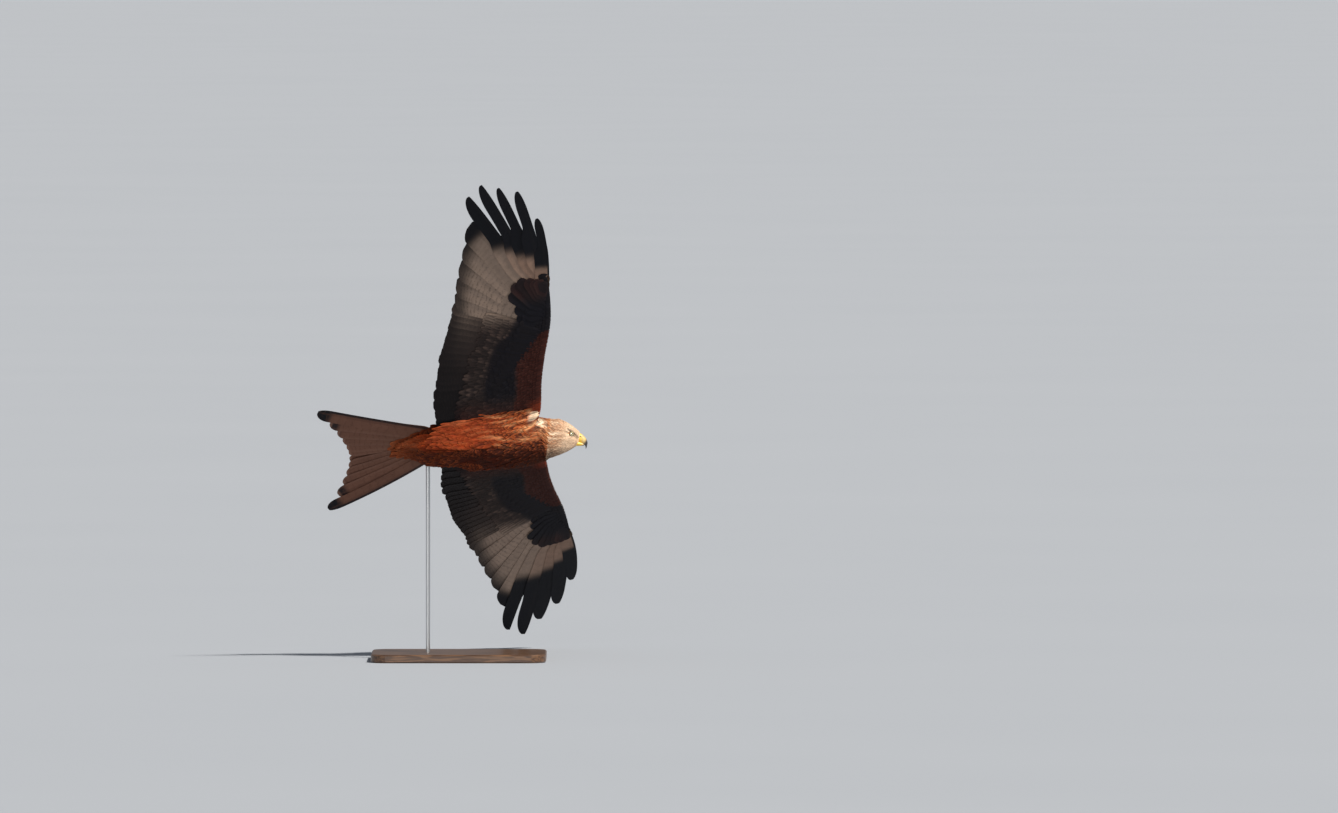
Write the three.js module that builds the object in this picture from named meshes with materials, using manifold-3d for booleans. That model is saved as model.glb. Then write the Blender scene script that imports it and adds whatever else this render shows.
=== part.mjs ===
// A life-size still model of a red kite, soaring in a steep bank, held up by a plain display stand.
// Millimetres, +Z up. The bird faces +X. It is built in its own level frame (X forward, Y to its left, Z towards
// its back, the middle of the trunk near the origin), and then banked to its left, pitched up and lifted on the
// rod.
import * as THREE from "three";
import Module from "manifold-3d";

const wasm = await Module();
wasm.setup();

// Driving dimensions
const GAP = 0.35; // between nodes that touch
const BANK = -46; // degrees about the bird's long axis: the left wing goes down
const PITCH_UP = 5; // degrees
const BIRD_PLACE = [75, -25, 528]; // the trunk's middle over the stand, mm
const HEAD_BANK = -13; // degrees: the head stays nearly level while the body banks
const HEAD_DOWN = 12; // degrees
const HEAD_AT = [180, 0, -5]; // the head's centre in the bird's frame
const AROUND = 20; // sides of the trunk and neck
const HEAD_AROUND = 24;

const FEATHER = { thick: 0.7, tipThick: 0.3, tilt: 0.1 };

const TRUNK_BACK = -105; // where the tail node begins
const NECK_FROM = 118; // where the neck node begins
const HEAD_FROM = -24; // where the head node begins, in the head's own frame

const TAIL = {
  pairs: 6,
  outer: 316, // length of the outermost feathers
  fork: 94, // how much shorter the middle ones are
  spread: 26, // degrees to each side
  rootX: -118,
  rootHalf: 31,
  height: 13,
  slope: 0.097,
};

const ROD = { radius: 5, at: -150, sides: 16 };
const BASE = { length: 420, width: 300, thick: 20, corner: 40, edge: 3 };

const radians = THREE.MathUtils.degToRad;
const mix = THREE.MathUtils.lerp;
const ease = (t) => THREE.MathUtils.smoothstep(t, 0, 1);

// A smooth function through a few [place, value] pairs
function through(...pairs) {
  const last = pairs.length - 1;
  const secant = pairs.slice(1).map((p, i) => (p[1] - pairs[i][1]) / (p[0] - pairs[i][0]));
  const slope = pairs.map((p, i) => {
    if (i === 0 || i === last) return secant[Math.min(i, last - 1)];
    const [before, after] = [secant[i - 1], secant[i]];
    return before * after <= 0 ? 0 : (2 * before * after) / (before + after);
  });
  return (x) => {
    const at = Math.min(Math.max(x, pairs[0][0]), pairs[last][0]);
    const next = pairs.findIndex((p) => p[0] > at);
    const i = next < 0 ? last - 1 : next - 1;
    const width = pairs[i + 1][0] - pairs[i][0];
    const t = (at - pairs[i][0]) / width;
    const [a, b] = [pairs[i][1], pairs[i + 1][1]];
    return (
      (2 * t ** 3 - 3 * t ** 2 + 1) * a +
      (t ** 3 - 2 * t ** 2 + t) * width * slope[i] +
      (3 * t ** 2 - 2 * t ** 3) * b +
      (t ** 3 - t ** 2) * width * slope[i + 1]
    );
  };
}

// Solids

// A closed solid from vertices and faces, turned to face out
function solidFrom(points, faces) {
  const vertProperties = new Float32Array(points.flatMap((p) => [p.x, p.y, p.z]));
  const make = (f) => {
    const mesh = new wasm.Mesh({ numProp: 3, vertProperties, triVerts: new Uint32Array(f) });
    return new wasm.Manifold(mesh);
  };
  const made = make(faces);
  if (made.volume() > 0) return made;
  const turned = [];
  for (let i = 0; i < faces.length; i += 3) turned.push(faces[i], faces[i + 2], faces[i + 1]);
  return make(turned);
}

// Joins rings of equal counts into a closed solid. Beyond half the ring the faces are split the other way, so
// that both faces of a thin vane have the same triangles.
function loft(rings, thin = false) {
  const count = rings[0].length;
  const points = rings.flat();
  const faces = [];
  for (let i = 0; i < rings.length - 1; i += 1) {
    for (let j = 0; j < count; j += 1) {
      const a = i * count + j;
      const b = i * count + ((j + 1) % count);
      const c = a + count;
      const d = b + count;
      if (thin && j >= count / 2) faces.push(a, b, c, b, d, c);
      else faces.push(a, b, d, a, d, c);
    }
  }
  const cap = (start, reversed) => {
    if (thin) {
      for (let j = 0; j < count / 2 - 1; j += 1) {
        const [p, q, r, s] = [start + j, start + j + 1, start + count - 2 - j, start + count - 1 - j];
        faces.push(...(reversed ? [p, r, q, p, s, r] : [p, q, r, p, r, s]));
      }
      return;
    }
    const middle = new THREE.Vector3();
    for (let j = 0; j < count; j += 1) middle.addScaledVector(points[start + j], 1 / count);
    points.push(middle);
    for (let j = 0; j < count; j += 1) {
      const [p, q] = [start + j, start + ((j + 1) % count)];
      faces.push(...(reversed ? [p, points.length - 1, q] : [p, q, points.length - 1]));
    }
  };
  cap(0, true);
  cap((rings.length - 1) * count, false);
  return solidFrom(points, faces);
}

// A three.js geometry as a solid
function solidOf(geometry) {
  const source = geometry.index ? geometry.toNonIndexed() : geometry;
  const place = source.getAttribute("position");
  const points = [];
  const faces = [];
  const seen = new Map();
  for (let i = 0; i < place.count; i += 1) {
    const p = new THREE.Vector3().fromBufferAttribute(place, i);
    const key = p.toArray().map((v) => Math.round(v * 1000)).join(",");
    if (!seen.has(key)) {
      seen.set(key, points.length);
      points.push(p);
    }
    faces.push(seen.get(key));
  }
  const kept = [];
  for (let i = 0; i < faces.length; i += 3) {
    const [a, b, c] = faces.slice(i, i + 3);
    if (a !== b && b !== c && a !== c) kept.push(a, b, c);
  }
  return solidFrom(points, kept);
}

const join = (solids) => solids.reduce((all, one) => all.add(one));

// The largest closed surface of a solid, which drops loose scraps
function largest(solid) {
  return solid.decompose().sort((a, b) => b.volume() - a.volume())[0];
}

function placed(solid, matrix) {
  return solid.transform(matrix.elements);
}

// A round tube along points, with a radius at each
function tube(points, radii, sides = 8) {
  const up = new THREE.Vector3(0, 1, 0);
  const rings = points.map((p, i) => {
    const [before, after] = [points[Math.max(i - 1, 0)], points[Math.min(i + 1, points.length - 1)]];
    const ahead = after.clone().sub(before).normalize();
    const across = new THREE.Vector3().crossVectors(ahead, up).normalize();
    const over = new THREE.Vector3().crossVectors(across, ahead);
    return Array.from({ length: sides }, (_, j) => {
      const a = (j / sides) * Math.PI * 2;
      const onCircle = across.clone().multiplyScalar(Math.cos(a)).addScaledVector(over, Math.sin(a));
      return p.clone().addScaledVector(onCircle, radii[i]);
    });
  });
  return loft(rings);
}

const ball = (at, radius, detail = 14) =>
  solidOf(new THREE.SphereGeometry(radius, detail, Math.round(detail * 0.7)).translate(...at));

function slab(at, size) {
  return solidOf(new THREE.BoxGeometry(...size).translate(...at));
}

// The bird's frame and the head's frame
const bodyTurn = new THREE.Quaternion()
  .setFromAxisAngle(new THREE.Vector3(0, 1, 0), radians(-PITCH_UP))
  .multiply(new THREE.Quaternion().setFromAxisAngle(new THREE.Vector3(1, 0, 0), radians(BANK)));
const headTurn = new THREE.Quaternion()
  .setFromAxisAngle(new THREE.Vector3(0, 1, 0), radians(HEAD_DOWN))
  .multiply(new THREE.Quaternion().setFromAxisAngle(new THREE.Vector3(1, 0, 0), radians(HEAD_BANK)))
  .premultiply(bodyTurn.clone().invert());
const headMatrix = new THREE.Matrix4().compose(
  new THREE.Vector3(...HEAD_AT),
  headTurn,
  new THREE.Vector3(1, 1, 1),
);

// Trunk: half width, heights above and below the axis, and the axis height, all along X
const trunkAxis = through(
  [-190, 9], [-165, 10], [-140, 7], [-105, -1], [-60, -9], [0, -14], [60, -13], [132, -8],
);
const trunkHalf = through(
  [-190, 22], [-165, 33], [-140, 40], [-105, 45], [-60, 51], [0, 58], [55, 62], [100, 60], [140, 51],
);
const trunkTop = through(
  [-190, 11], [-165, 20], [-140, 28], [-105, 35], [-60, 41], [0, 46], [55, 50], [100, 50], [140, 45],
);
const trunkUnder = through(
  [-190, 10], [-165, 18], [-140, 27], [-105, 39], [-60, 49], [0, 58], [55, 62], [100, 59], [140, 53],
);

function ovalRing(place, turn, half, top, under, grow = 0, sides = AROUND) {
  return Array.from({ length: sides }, (_, j) => {
    const a = (j / sides) * Math.PI * 2;
    const rise = Math.sin(a) > 0 ? top : under;
    return new THREE.Vector3(0, Math.cos(a) * (half + grow), Math.sin(a) * (rise + grow))
      .applyQuaternion(turn)
      .add(place);
  });
}

const level = new THREE.Quaternion();

function trunkSolid(from, to, grow = 0) {
  const steps = Math.max(3, Math.round((to - from) / 20));
  const rings = [];
  for (let i = 0; i <= steps; i += 1) {
    const x = mix(from, to, i / steps);
    const place = new THREE.Vector3(x, 0, trunkAxis(x));
    rings.push(ovalRing(place, level, trunkHalf(x), trunkTop(x), trunkUnder(x), grow));
  }
  return loft(rings);
}

// Neck: its rings pass from the trunk's frame into the head's
const NECK_STEPS = 4;
const THROAT = 4; // how far the neck swells below

function neckSolid(grow = 0) {
  const start = new THREE.Vector3(NECK_FROM + GAP - grow, 0, trunkAxis(NECK_FROM));
  const end = new THREE.Vector3(HEAD_FROM - GAP + grow, 0, headAxis(HEAD_FROM)).applyMatrix4(headMatrix);
  const sizesAt = (t) => [
    mix(trunkHalf(NECK_FROM), headHalf(HEAD_FROM), t),
    mix(trunkTop(NECK_FROM), headTop(HEAD_FROM), ease(t)),
    mix(trunkUnder(NECK_FROM), headUnder(HEAD_FROM), t) + THROAT * Math.sin(Math.PI * t),
  ];
  const rings = [];
  for (let i = 0; i <= NECK_STEPS; i += 1) {
    const t = i / NECK_STEPS;
    const turn = level.clone().slerp(headTurn, ease(t));
    rings.push(ovalRing(start.clone().lerp(end, t), turn, ...sizesAt(t), grow));
  }
  return loft(rings);
}

// Head, in its own frame: X to the bill, Z to the crown
const headAxis = through([-40, 2], [0, 3], [36, 2]);
const headHalf = through([-40, 44], [-24, 39], [-8, 32], [8, 25.5], [20, 20], [30, 13.5], [37, 8.5]);
const headTop = through([-40, 38], [-24, 36], [-8, 32.5], [8, 27], [20, 21.5], [30, 16.5], [37, 11]);
const headUnder = through([-40, 68], [-24, 63], [-8, 54], [8, 43], [20, 32.5], [30, 22], [37, 13.5]);
const EYE = { x: 13.5, y: 15.8, z: 4.5, radius: 8.4, lid: 5.6, lidThick: 1.3 };

// Swellings of the head: brow over the eye, hollow lore before it, and the cheek
const HEAD_FORMS = [
  { x: 15, up: 33, reach: 9, spread: 12, size: 2.6 },
  { x: 25, up: 6, reach: 5, spread: 20, size: -2 },
  { x: 2, up: -30, reach: 12, spread: 26, size: 1.6 },
];

function headSolid(grow = 0) {
  const steps = 9;
  const front = 37;
  const rings = [];
  for (let i = 0; i <= steps; i += 1) {
    const x = mix(HEAD_FROM - grow, front + grow, i / steps);
    const ring = ovalRing(new THREE.Vector3(), level, headHalf(x), headTop(x), headUnder(x), grow, HEAD_AROUND);
    for (const p of ring) {
      const up = THREE.MathUtils.radToDeg(Math.atan2(p.z, Math.abs(p.y)));
      const radius = Math.hypot(p.y, p.z);
      const swell = HEAD_FORMS.reduce(
        (sum, f) => sum + f.size * Math.exp(-(((x - f.x) / f.reach) ** 2) - ((up - f.up) / f.spread) ** 2),
        0,
      );
      p.multiplyScalar(1 + swell / radius);
      p.x = x;
      p.z += headAxis(x);
    }
    rings.push(ring);
  }
  return loft(rings);
}

// Lid rims stand round the eyes, and the sockets are cut through them
function head() {
  const rims = [];
  const sockets = [];
  for (const side of [-1, 1]) {
    const rim = new THREE.TorusGeometry(EYE.lid, EYE.lidThick, 5, 14);
    rim.rotateX(Math.PI / 2).rotateZ(side * radians(-12)).rotateX(side * radians(10));
    rim.translate(EYE.x, side * (EYE.y + 6.6), EYE.z);
    rims.push(solidOf(rim));
    sockets.push(ball([EYE.x, side * EYE.y, EYE.z], EYE.radius + GAP, 12));
  }
  const mouth = [-1, 1].map((side) => slab([24, side * 16, -6.5], [14, 6, 1]));
  return largest(join([headSolid(), ...rims]).subtract(join([...sockets, ...mouth])));
}

// Bill: the culmen and the cutting edge give each section's top and bottom
const culmenX = through([0, 26], [0.25, 36], [0.5, 46], [0.7, 53.5], [0.85, 57.2], [0.95, 57], [1, 55.8]);
const culmenZ = through([0, 16], [0.25, 13.8], [0.5, 9], [0.7, 1.5], [0.85, -7.5], [0.95, -16], [1, -20]);
const edgeX = through([0, 24], [0.25, 32], [0.5, 41], [0.7, 47.5], [0.85, 52], [0.95, 54.6], [1, 55.2]);
const edgeZ = through([0, -7.5], [0.25, -7.4], [0.5, -8.4], [0.7, -10], [0.85, -12.2], [0.95, -17], [1, -19.8]);
const billHalf = through([0, 9.5], [0.25, 8.6], [0.5, 6.9], [0.7, 5.2], [0.85, 3.6], [0.95, 1.8], [1, 0.5]);
const NOSTRIL = { x: 37, y: 7.4, z: 5, radius: 1.5 };

function billSection(top, edge, half, sides) {
  return Array.from({ length: sides }, (_, j) => {
    const a = (j / sides) * Math.PI * 2;
    const rise = (1 - Math.cos(a)) / 2; // 0 at the cutting edge, 1 at the culmen
    const width = half * Math.sin(a) * (1 - 0.25 * rise) ** 0.5;
    const p = edge.clone().lerp(top, rise ** 0.9);
    p.y = width;
    return p;
  });
}

function billUpper() {
  const steps = 8;
  const rings = [];
  for (let i = 0; i <= steps; i += 1) {
    const t = i / steps;
    const top = new THREE.Vector3(culmenX(t), 0, culmenZ(t));
    rings.push(billSection(top, new THREE.Vector3(edgeX(t), 0, edgeZ(t)), billHalf(t), 10));
  }
  const nostrils = [-1, 1].map((side) => {
    const pit = new THREE.SphereGeometry(NOSTRIL.radius, 8, 6).scale(1.6, 1.4, 1);
    return solidOf(pit.translate(NOSTRIL.x, side * NOSTRIL.y, NOSTRIL.z));
  });
  return largest(loft(rings).subtract(join([...nostrils, headSolid(GAP)])));
}

const LOWER_BILL = { from: 24, to: 50, drop: 0.5 };

function billLower() {
  const steps = 6;
  const rings = [];
  for (let i = 0; i <= steps; i += 1) {
    const t = i / steps;
    const x = mix(LOWER_BILL.from, LOWER_BILL.to, t);
    const along = THREE.MathUtils.clamp((x - 24) / 31, 0, 1);
    const top = new THREE.Vector3(x, 0, mix(-8.2, -11.8, t ** 2));
    const under = new THREE.Vector3(x, 0, mix(-20, -14, t ** 1.4));
    rings.push(billSection(top, under, mix(8.2, 1.6, along ** 1.3), 10));
  }
  return largest(loft(rings).subtract(join([headSolid(GAP), billUpperBlock()])));
}

// The upper bill let down by a hair, which parts the lower one from it
function billUpperBlock() {
  return billUpper().translate(0, 0, -LOWER_BILL.drop);
}

// Wings. The planform is the same on both sides, so all of it is written for the left wing (Y outwards).
const leadX = through(
  [30, 112], [90, 131], [160, 137], [235, 149], [290, 161], [335, 169], [400, 173], [470, 174],
);
const rearX = through(
  [30, -72], [70, -48], [120, -8], [175, 34], [245, 80], [318, 122], [380, 138], [440, 150],
);
const wingHeight = through(
  [30, -6], [90, 6], [160, 19.5], [235, 36], [331, 53.5], [450, 74], [600, 93], [780, 102],
);
const wingSlope = through([30, 0.07], [160, 0.08], [331, 0.13], [450, 0.16], [600, 0.17], [800, 0.17]);
const wingThick = through([30, 30], [90, 27], [175, 21], [318, 14], [380, 10], [440, 5]);
const SURFACE_X = 50; // where wingHeight is measured

const wingSurface = (x, y) => wingHeight(y) + wingSlope(y) * (x - SURFACE_X);

const WRIST = 320;
const HAND_END = 438;
const WRIST_REACH = 140;
const SHOULDER = 34;

// The wing's flesh: a round-nosed section from the leading edge to the roots of the feathers
const SECTION = [
  [0, 0], [0.03, 0.55], [0.16, 0.95], [0.42, 1], [0.75, 0.86], [1, 0.6],
  [1, -0.6], [0.75, -0.78], [0.42, -0.86], [0.16, -0.8], [0.03, -0.5],
];

function wingFlesh(from, to, grow = 0) {
  const steps = Math.max(3, Math.round((to - from) / 36));
  const rings = [];
  for (let i = 0; i <= steps; i += 1) {
    const y = mix(from - grow, to + grow, i / steps);
    const front = leadX(y) + grow;
    const chord = front - rearX(y) + grow;
    rings.push(
      SECTION.map(([along, over]) => {
        const x = front - along * chord;
        const z = wingSurface(x, y) + over * (wingThick(y) / 2 + grow);
        return new THREE.Vector3(x, y, z);
      }),
    );
  }
  return loft(rings);
}

// A feather's vane: how wide it is along its length, from a quill to a rounded tip
const ROUND_TIP = { from: 0.86, narrowing: 0.84 };
const POINTED_TIP = { from: 0.74, narrowing: 0.94 };

function vaneShape(t, f, finger = 1) {
  const point = f.point ?? ROUND_TIP;
  const past = Math.max(0, (t - point.from) / (1 - point.from));
  const root = mix(0.14, 1, ease(t / (f.quill ?? 0.3)));
  const slim = mix(1, finger, ease((t - (f.fingerFrom ?? 1)) / 0.14));
  return root * slim * Math.sqrt(1 - point.narrowing * past ** 2);
}

// A feather on a surface: a closed thin vane from root to tip, its outer edge a little higher than its inner one,
// so that it lies over its outer neighbour like a shingle
function vane(f, surface) {
  const [x0, y0] = f.root;
  const [x1, y1] = f.tip;
  const length = Math.hypot(x1 - x0, y1 - y0);
  const side = new THREE.Vector2(y1 - y0, x0 - x1).divideScalar(length).multiplyScalar(f.outward ?? 1);
  const rings = f.steps.map((t) => {
    const bow = (f.bow ?? 0) * 4 * t * (1 - t);
    const [x, y] = [mix(x0, x1, t) + side.x * bow, mix(y0, y1, t) + side.y * bow];
    const places = [-f.inner * vaneShape(t, f, f.finger), 0, f.outer * vaneShape(t, f, f.outerFinger)];
    const thick = t > 0.97 ? FEATHER.tipThick : mix(f.thick ?? FEATHER.thick, 0.5, t);
    const ridge = f.ridge ? f.ridge * (1 - t) : 0;
    const upper = [];
    const lower = [];
    places.forEach((u, k) => {
      if (k === 1 && !f.ridge) return;
      const [px, py] = [x + side.x * u, y + side.y * u];
      const height = surface(px, py) + f.lift(t) + (f.tilt ?? FEATHER.tilt) * u + (f.flex ?? 0) * t ** 3;
      const half = thick / 2 + (k === 1 ? ridge : 0);
      upper.push(new THREE.Vector3(px, py, height + half));
      lower.unshift(new THREE.Vector3(px, py, height - half));
    });
    return [...upper, ...lower];
  });
  return loft(rings, true);
}

const LONG_STEPS = [0, 0.15, 0.32, 0.46, 0.6, 0.76, 0.9, 1];
const INNER_STEPS = [0, 0.22, 0.55, 0.86, 0.95, 1];
const SECONDARY_STEPS = [0, 0.28, 0.86, 0.95, 1];
const COVERT_STEPS = [0, 0.38, 0.88, 1];
const RECTRIX_STEPS = [0, 0.16, 0.45, 0.75, 0.88, 0.96, 1];

// Primaries, from the innermost to the outermost: the tips, and how far up the separate fingers bend
const PRIMARY_TIPS = [
  [-61, 445], [-52, 493], [-37, 548], [-19, 605], [-3, 669],
  [2, 755], [35, 783], [76, 754], [122, 716], [162, 633],
];
const PRIMARY_ROOTS = [[137, 333], [164, 430]];
const PRIMARY_INNER = through([1, 34], [6, 36], [10, 25]);
const PRIMARY_OUTER = through([1, 20], [5, 17], [6, 13], [10, 8]);
const FINGERED_FROM = 6; // the primaries from here on narrow into separate fingers
const OUTERMOST_FROM = 8; // these also bend up at the tip and have a stout shaft

// How each wing is held: mm forward at its wrist, how far its secondaries and primaries reach, their bow, and how
// much of each web is left along a finger and from where. The lowered wing's fingers lie closer together.
const HELD = {
  left: {
    bend: -7,
    secondaryReach: through([1, 1], [11, 1]),
    reach: through([1, 1.04], [5, 1.04], [7, 1.015], [8, 1], [9, 0.985], [10, 1.01]),
    bow: through([1, 2], [5, 0], [6, -9], [7, -5], [8, 4], [10, 8]),
    finger: through([6, 0.92], [7, 0.88], [8, 1], [9, 0.9], [10, 0.7]),
    outerFinger: through([6, 0.12], [7, 0.7], [8, 1], [10, 1]),
    fingerFrom: through([6, 0.58], [7, 0.58], [8, 0.62], [10, 0.6]),
  },
  right: {
    bend: 6,
    secondaryReach: through([1, 0.95], [5, 1], [11, 1]),
    reach: through([1, 0.96], [5, 0.95], [6, 0.965], [8, 0.968], [9, 1.01], [10, 0.94]),
    bow: through([1, 2], [6, 3], [10, 8]),
    finger: through([6, 0.7], [7, 0.56], [8, 0.46], [9, 0.5], [10, 0.42]),
    outerFinger: through([6, 0.25], [7, 0.4], [8, 0.7], [9, 0.9], [10, 0.9]),
    fingerFrom: through([6, 0.46], [7, 0.4], [8, 0.48], [9, 0.5], [10, 0.46]),
  },
};

function primary(k, held) {
  const along = (k - 1) / 9;
  const [a, b] = PRIMARY_ROOTS;
  const fingered = k >= FINGERED_FROM;
  const root = [mix(a[0], b[0], along), mix(a[1], b[1], along)];
  return {
    root,
    tip: root.map((from, i) => mix(from, PRIMARY_TIPS[k - 1][i], held.reach(k))),
    inner: PRIMARY_INNER(k),
    outer: PRIMARY_OUTER(k),
    bow: held.bow(k),
    finger: fingered ? held.finger(k) : 1,
    outerFinger: fingered ? held.outerFinger(k) : 1,
    fingerFrom: held.fingerFrom(k),
    flex: k >= OUTERMOST_FROM ? 7 : 0,
    ridge: k >= OUTERMOST_FROM ? 0.7 : 0,
    lift: () => 0,
    point: fingered ? POINTED_TIP : ROUND_TIP,
    steps: fingered ? LONG_STEPS : INNER_STEPS,
  };
}

// Secondaries and tertials, from the wrist inwards
const SECONDARIES = 11;
const TERTIALS = 5;
const ROOT_SUNK = 13; // how far the roots of the long feathers lie inside the flesh
const trailX = through([50, -124], [95, -126], [155, -129], [213, -116], [280, -105], [365, -79], [430, -68]);

function secondary(k, held) {
  const tipY = 426 - 22.6 * (k - 1);
  const rootY = 312 - 12.6 * (k - 1);
  const root = [rearX(rootY) + ROOT_SUNK, rootY];
  return {
    root,
    tip: root.map((from, i) => mix(from, [trailX(tipY), tipY][i], held.secondaryReach(k))),
    inner: 29,
    outer: 16,
    bow: 3,
    lift: () => 0,
    steps: SECONDARY_STEPS,
  };
}

function tertial(k) {
  const rootY = 182 - 23 * k;
  const tipY = 198 - 29 * k;
  return {
    root: [rearX(rootY) + ROOT_SUNK, rootY],
    tip: [trailX(tipY), tipY],
    inner: 27,
    outer: 19,
    tilt: 0.07,
    lift: () => 0,
    steps: SECONDARY_STEPS,
  };
}

// A covert lies over or under the root of each long feather, along the same line
function covert(long, face, share, width, drop) {
  const [x0, y0] = long.root;
  const [x1, y1] = long.tip;
  const back = 8 / Math.hypot(x1 - x0, y1 - y0); // its root goes this far ahead into the flesh
  return {
    root: [mix(x0, x1, -back), mix(y0, y1, -back)],
    tip: [mix(x0, x1, share), mix(y0, y1, share)],
    inner: width * 0.58,
    outer: width * 0.42,
    tilt: 0.09,
    thick: 0.8,
    lift: (t) => face * mix(drop + 0.6, drop, t),
    steps: COVERT_STEPS,
  };
}

const GREATER = { lift: 3.9 };
const MEDIAN = {
  arm: 5,
  from: 80,
  to: 298,
  onHand: 340,
  ahead: 28,
  length: 64,
  lift: 6.6,
  width: 38,
  tilt: 0.07,
};

// A row of shorter coverts whose roots lie further forward in the flesh
function medianCovert(y, face) {
  const x = rearX(y) + MEDIAN.ahead;
  const out = mix(4, 40, y / 400);
  return {
    root: [x, y],
    tip: [x - MEDIAN.length, y + out],
    inner: MEDIAN.width * 0.5,
    outer: MEDIAN.width * 0.5,
    tilt: MEDIAN.tilt,
    thick: 0.8,
    lift: (t) => face * mix(MEDIAN.lift, MEDIAN.lift - 0.7, t),
    steps: COVERT_STEPS,
  };
}

function count(n, make) {
  return Array.from({ length: n }, (_, i) => make(i + 1));
}

// A wing is bent a little forward or back at the wrist
function bent(x, y, bend) {
  return x + bend * Math.exp(-(((y - WRIST) / WRIST_REACH) ** 2));
}

function bentSolid(solid, bend) {
  const made = solid.getMesh();
  const points = [];
  for (let i = 0; i < made.vertProperties.length; i += 3) {
    const [x, y, z] = made.vertProperties.slice(i, i + 3);
    points.push(new THREE.Vector3(bent(x, y, bend), y, z));
  }
  return solidFrom(points, [...made.triVerts]);
}

// The upright wall that parts arm and hand: it crosses the wrist and runs out between the last secondary and
// the first primary. One side of it as a solid.
function beyondWall(side, bend, gap = 0) {
  const line = [[300, WRIST], [150, WRIST], [40, 379], [-67, 436], [-200, 507]];
  const moved = line.map(([x, y]) => [bent(x, y, bend), y + gap]);
  const far = side > 0 ? 900 : -100;
  const outline = new THREE.Shape([...moved, [-200, far], [300, far]].map((p) => new THREE.Vector2(...p)));
  return solidOf(new THREE.ExtrudeGeometry(outline, { depth: 400, bevelEnabled: false }).translate(0, 0, -150));
}

function armSolid(held) {
  const secondaries = count(SECONDARIES, (k) => secondary(k, held));
  const tertials = count(TERTIALS, tertial);
  const feathers = [...secondaries, ...tertials];
  for (const face of [-1, 1]) {
    secondaries.forEach((s) => feathers.push(covert(s, face, 0.44, 34, GREATER.lift)));
    const places = count(MEDIAN.arm, (i) => mix(MEDIAN.from, MEDIAN.to, (i - 1) / (MEDIAN.arm - 1)));
    feathers.push(...places.map((y) => medianCovert(y, face)));
  }
  const solids = feathers.map((f) => vane(f, wingSurface));
  const made = bentSolid(join([wingFlesh(SHOULDER, WRIST + 25), ...solids]), held.bend);
  const cutters = [trunkSolid(-200, NECK_FROM + 20, GAP), beyondWall(1, held.bend)];
  return largest(made.subtract(join(cutters)));
}

function handSolid(held) {
  const primaries = count(10, (k) => primary(k, held));
  const feathers = [...primaries, ...alulaFeathers()];
  for (const face of [-1, 1]) {
    primaries.forEach((p, i) => {
      feathers.push(covert(p, face, mix(0.4, 0.27, i / 9), mix(34, 20, i / 9), GREATER.lift));
    });
    feathers.push(medianCovert(MEDIAN.onHand, face));
  }
  const solids = feathers.map((f) => vane(f, wingSurface));
  const made = bentSolid(join([wingFlesh(WRIST - 5, HAND_END), ...solids]), held.bend);
  return largest(made.subtract(beyondWall(-1, held.bend, GAP + 0.05)));
}

// The alula: three small stiff feathers on the wrist, over the leading edge
function alulaFeathers() {
  return count(3, (k) => ({
    root: [leadX(336) - 12 + k * 2, 334 + k * 3],
    tip: [leadX(400) - 14 + k * 5, 426 - k * 14],
    inner: 10,
    outer: 6,
    tilt: 0.09,
    lift: (t) => 6.2 + k * 1.2 - t * 0.6,
    steps: COVERT_STEPS,
  }));
}

// Tail
const tailSurface = (x, y) => TAIL.height + TAIL.slope * (x - TAIL.rootX) - 0.00012 * y * y;
const RECTRIX_LENGTH = through([1, 0], [2, 0.05], [3, 0.16], [4, 0.33], [5, 0.58], [6, 1]);

const TAIL_BOW = { 1: 9, [-1]: -3 }; // of the outermost feathers: the tail twists, and one edge is hollow

function rectrix(k, side) {
  const length = TAIL.outer - TAIL.fork * (1 - RECTRIX_LENGTH(k));
  const spread = radians((TAIL.spread * (k - 0.45)) / (TAIL.pairs - 0.45));
  const rootY = (TAIL.rootHalf * (k - 0.5)) / (TAIL.pairs - 0.5);
  return {
    root: [TAIL.rootX, side * rootY],
    tip: [TAIL.rootX - length * Math.cos(spread), side * (rootY + length * Math.sin(spread))],
    outward: side,
    inner: k === 1 ? 16 : 25,
    outer: k === TAIL.pairs ? 11 : 19,
    bow: k === TAIL.pairs ? TAIL_BOW[side] : 2,
    tilt: 0.1,
    quill: 0.16,
    lift: () => (k === 1 && side > 0 ? 2.4 : 0),
    steps: RECTRIX_STEPS,
  };
}

// Tail coverts: short vanes over and under the tail's root
function tailCovert(i, face, row) {
  const n = row.count;
  const across = n === 1 ? 0 : mix(-1, 1, (i - 1) / (n - 1));
  const spread = radians(across * row.spread);
  const length = row.length * (1 - 0.22 * Math.abs(across));
  return {
    root: [row.x, across * row.half],
    tip: [row.x - length * Math.cos(spread), across * row.half + length * Math.sin(spread)],
    outward: -1,
    inner: row.width / 2,
    outer: row.width / 2,
    tilt: 0,
    thick: 1,
    lift: (t) => face * (mix(row.lift, row.lift - row.fall, t) - 1.5 * Math.abs(across) + (i % 2) * 1.4),
    steps: COVERT_STEPS,
  };
}

const TAIL_COVERTS = [
  { x: -130, half: 32, count: 6, spread: 20, length: 96, width: 30, lift: 11, fall: 4, face: -1 },
  { x: -120, half: 22, count: 4, spread: 14, length: 76, width: 32, lift: 18, fall: 6, face: -1 },
  { x: -130, half: 32, count: 6, spread: 20, length: 80, width: 30, lift: 9.5, fall: 3, face: 1 },
];

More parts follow.
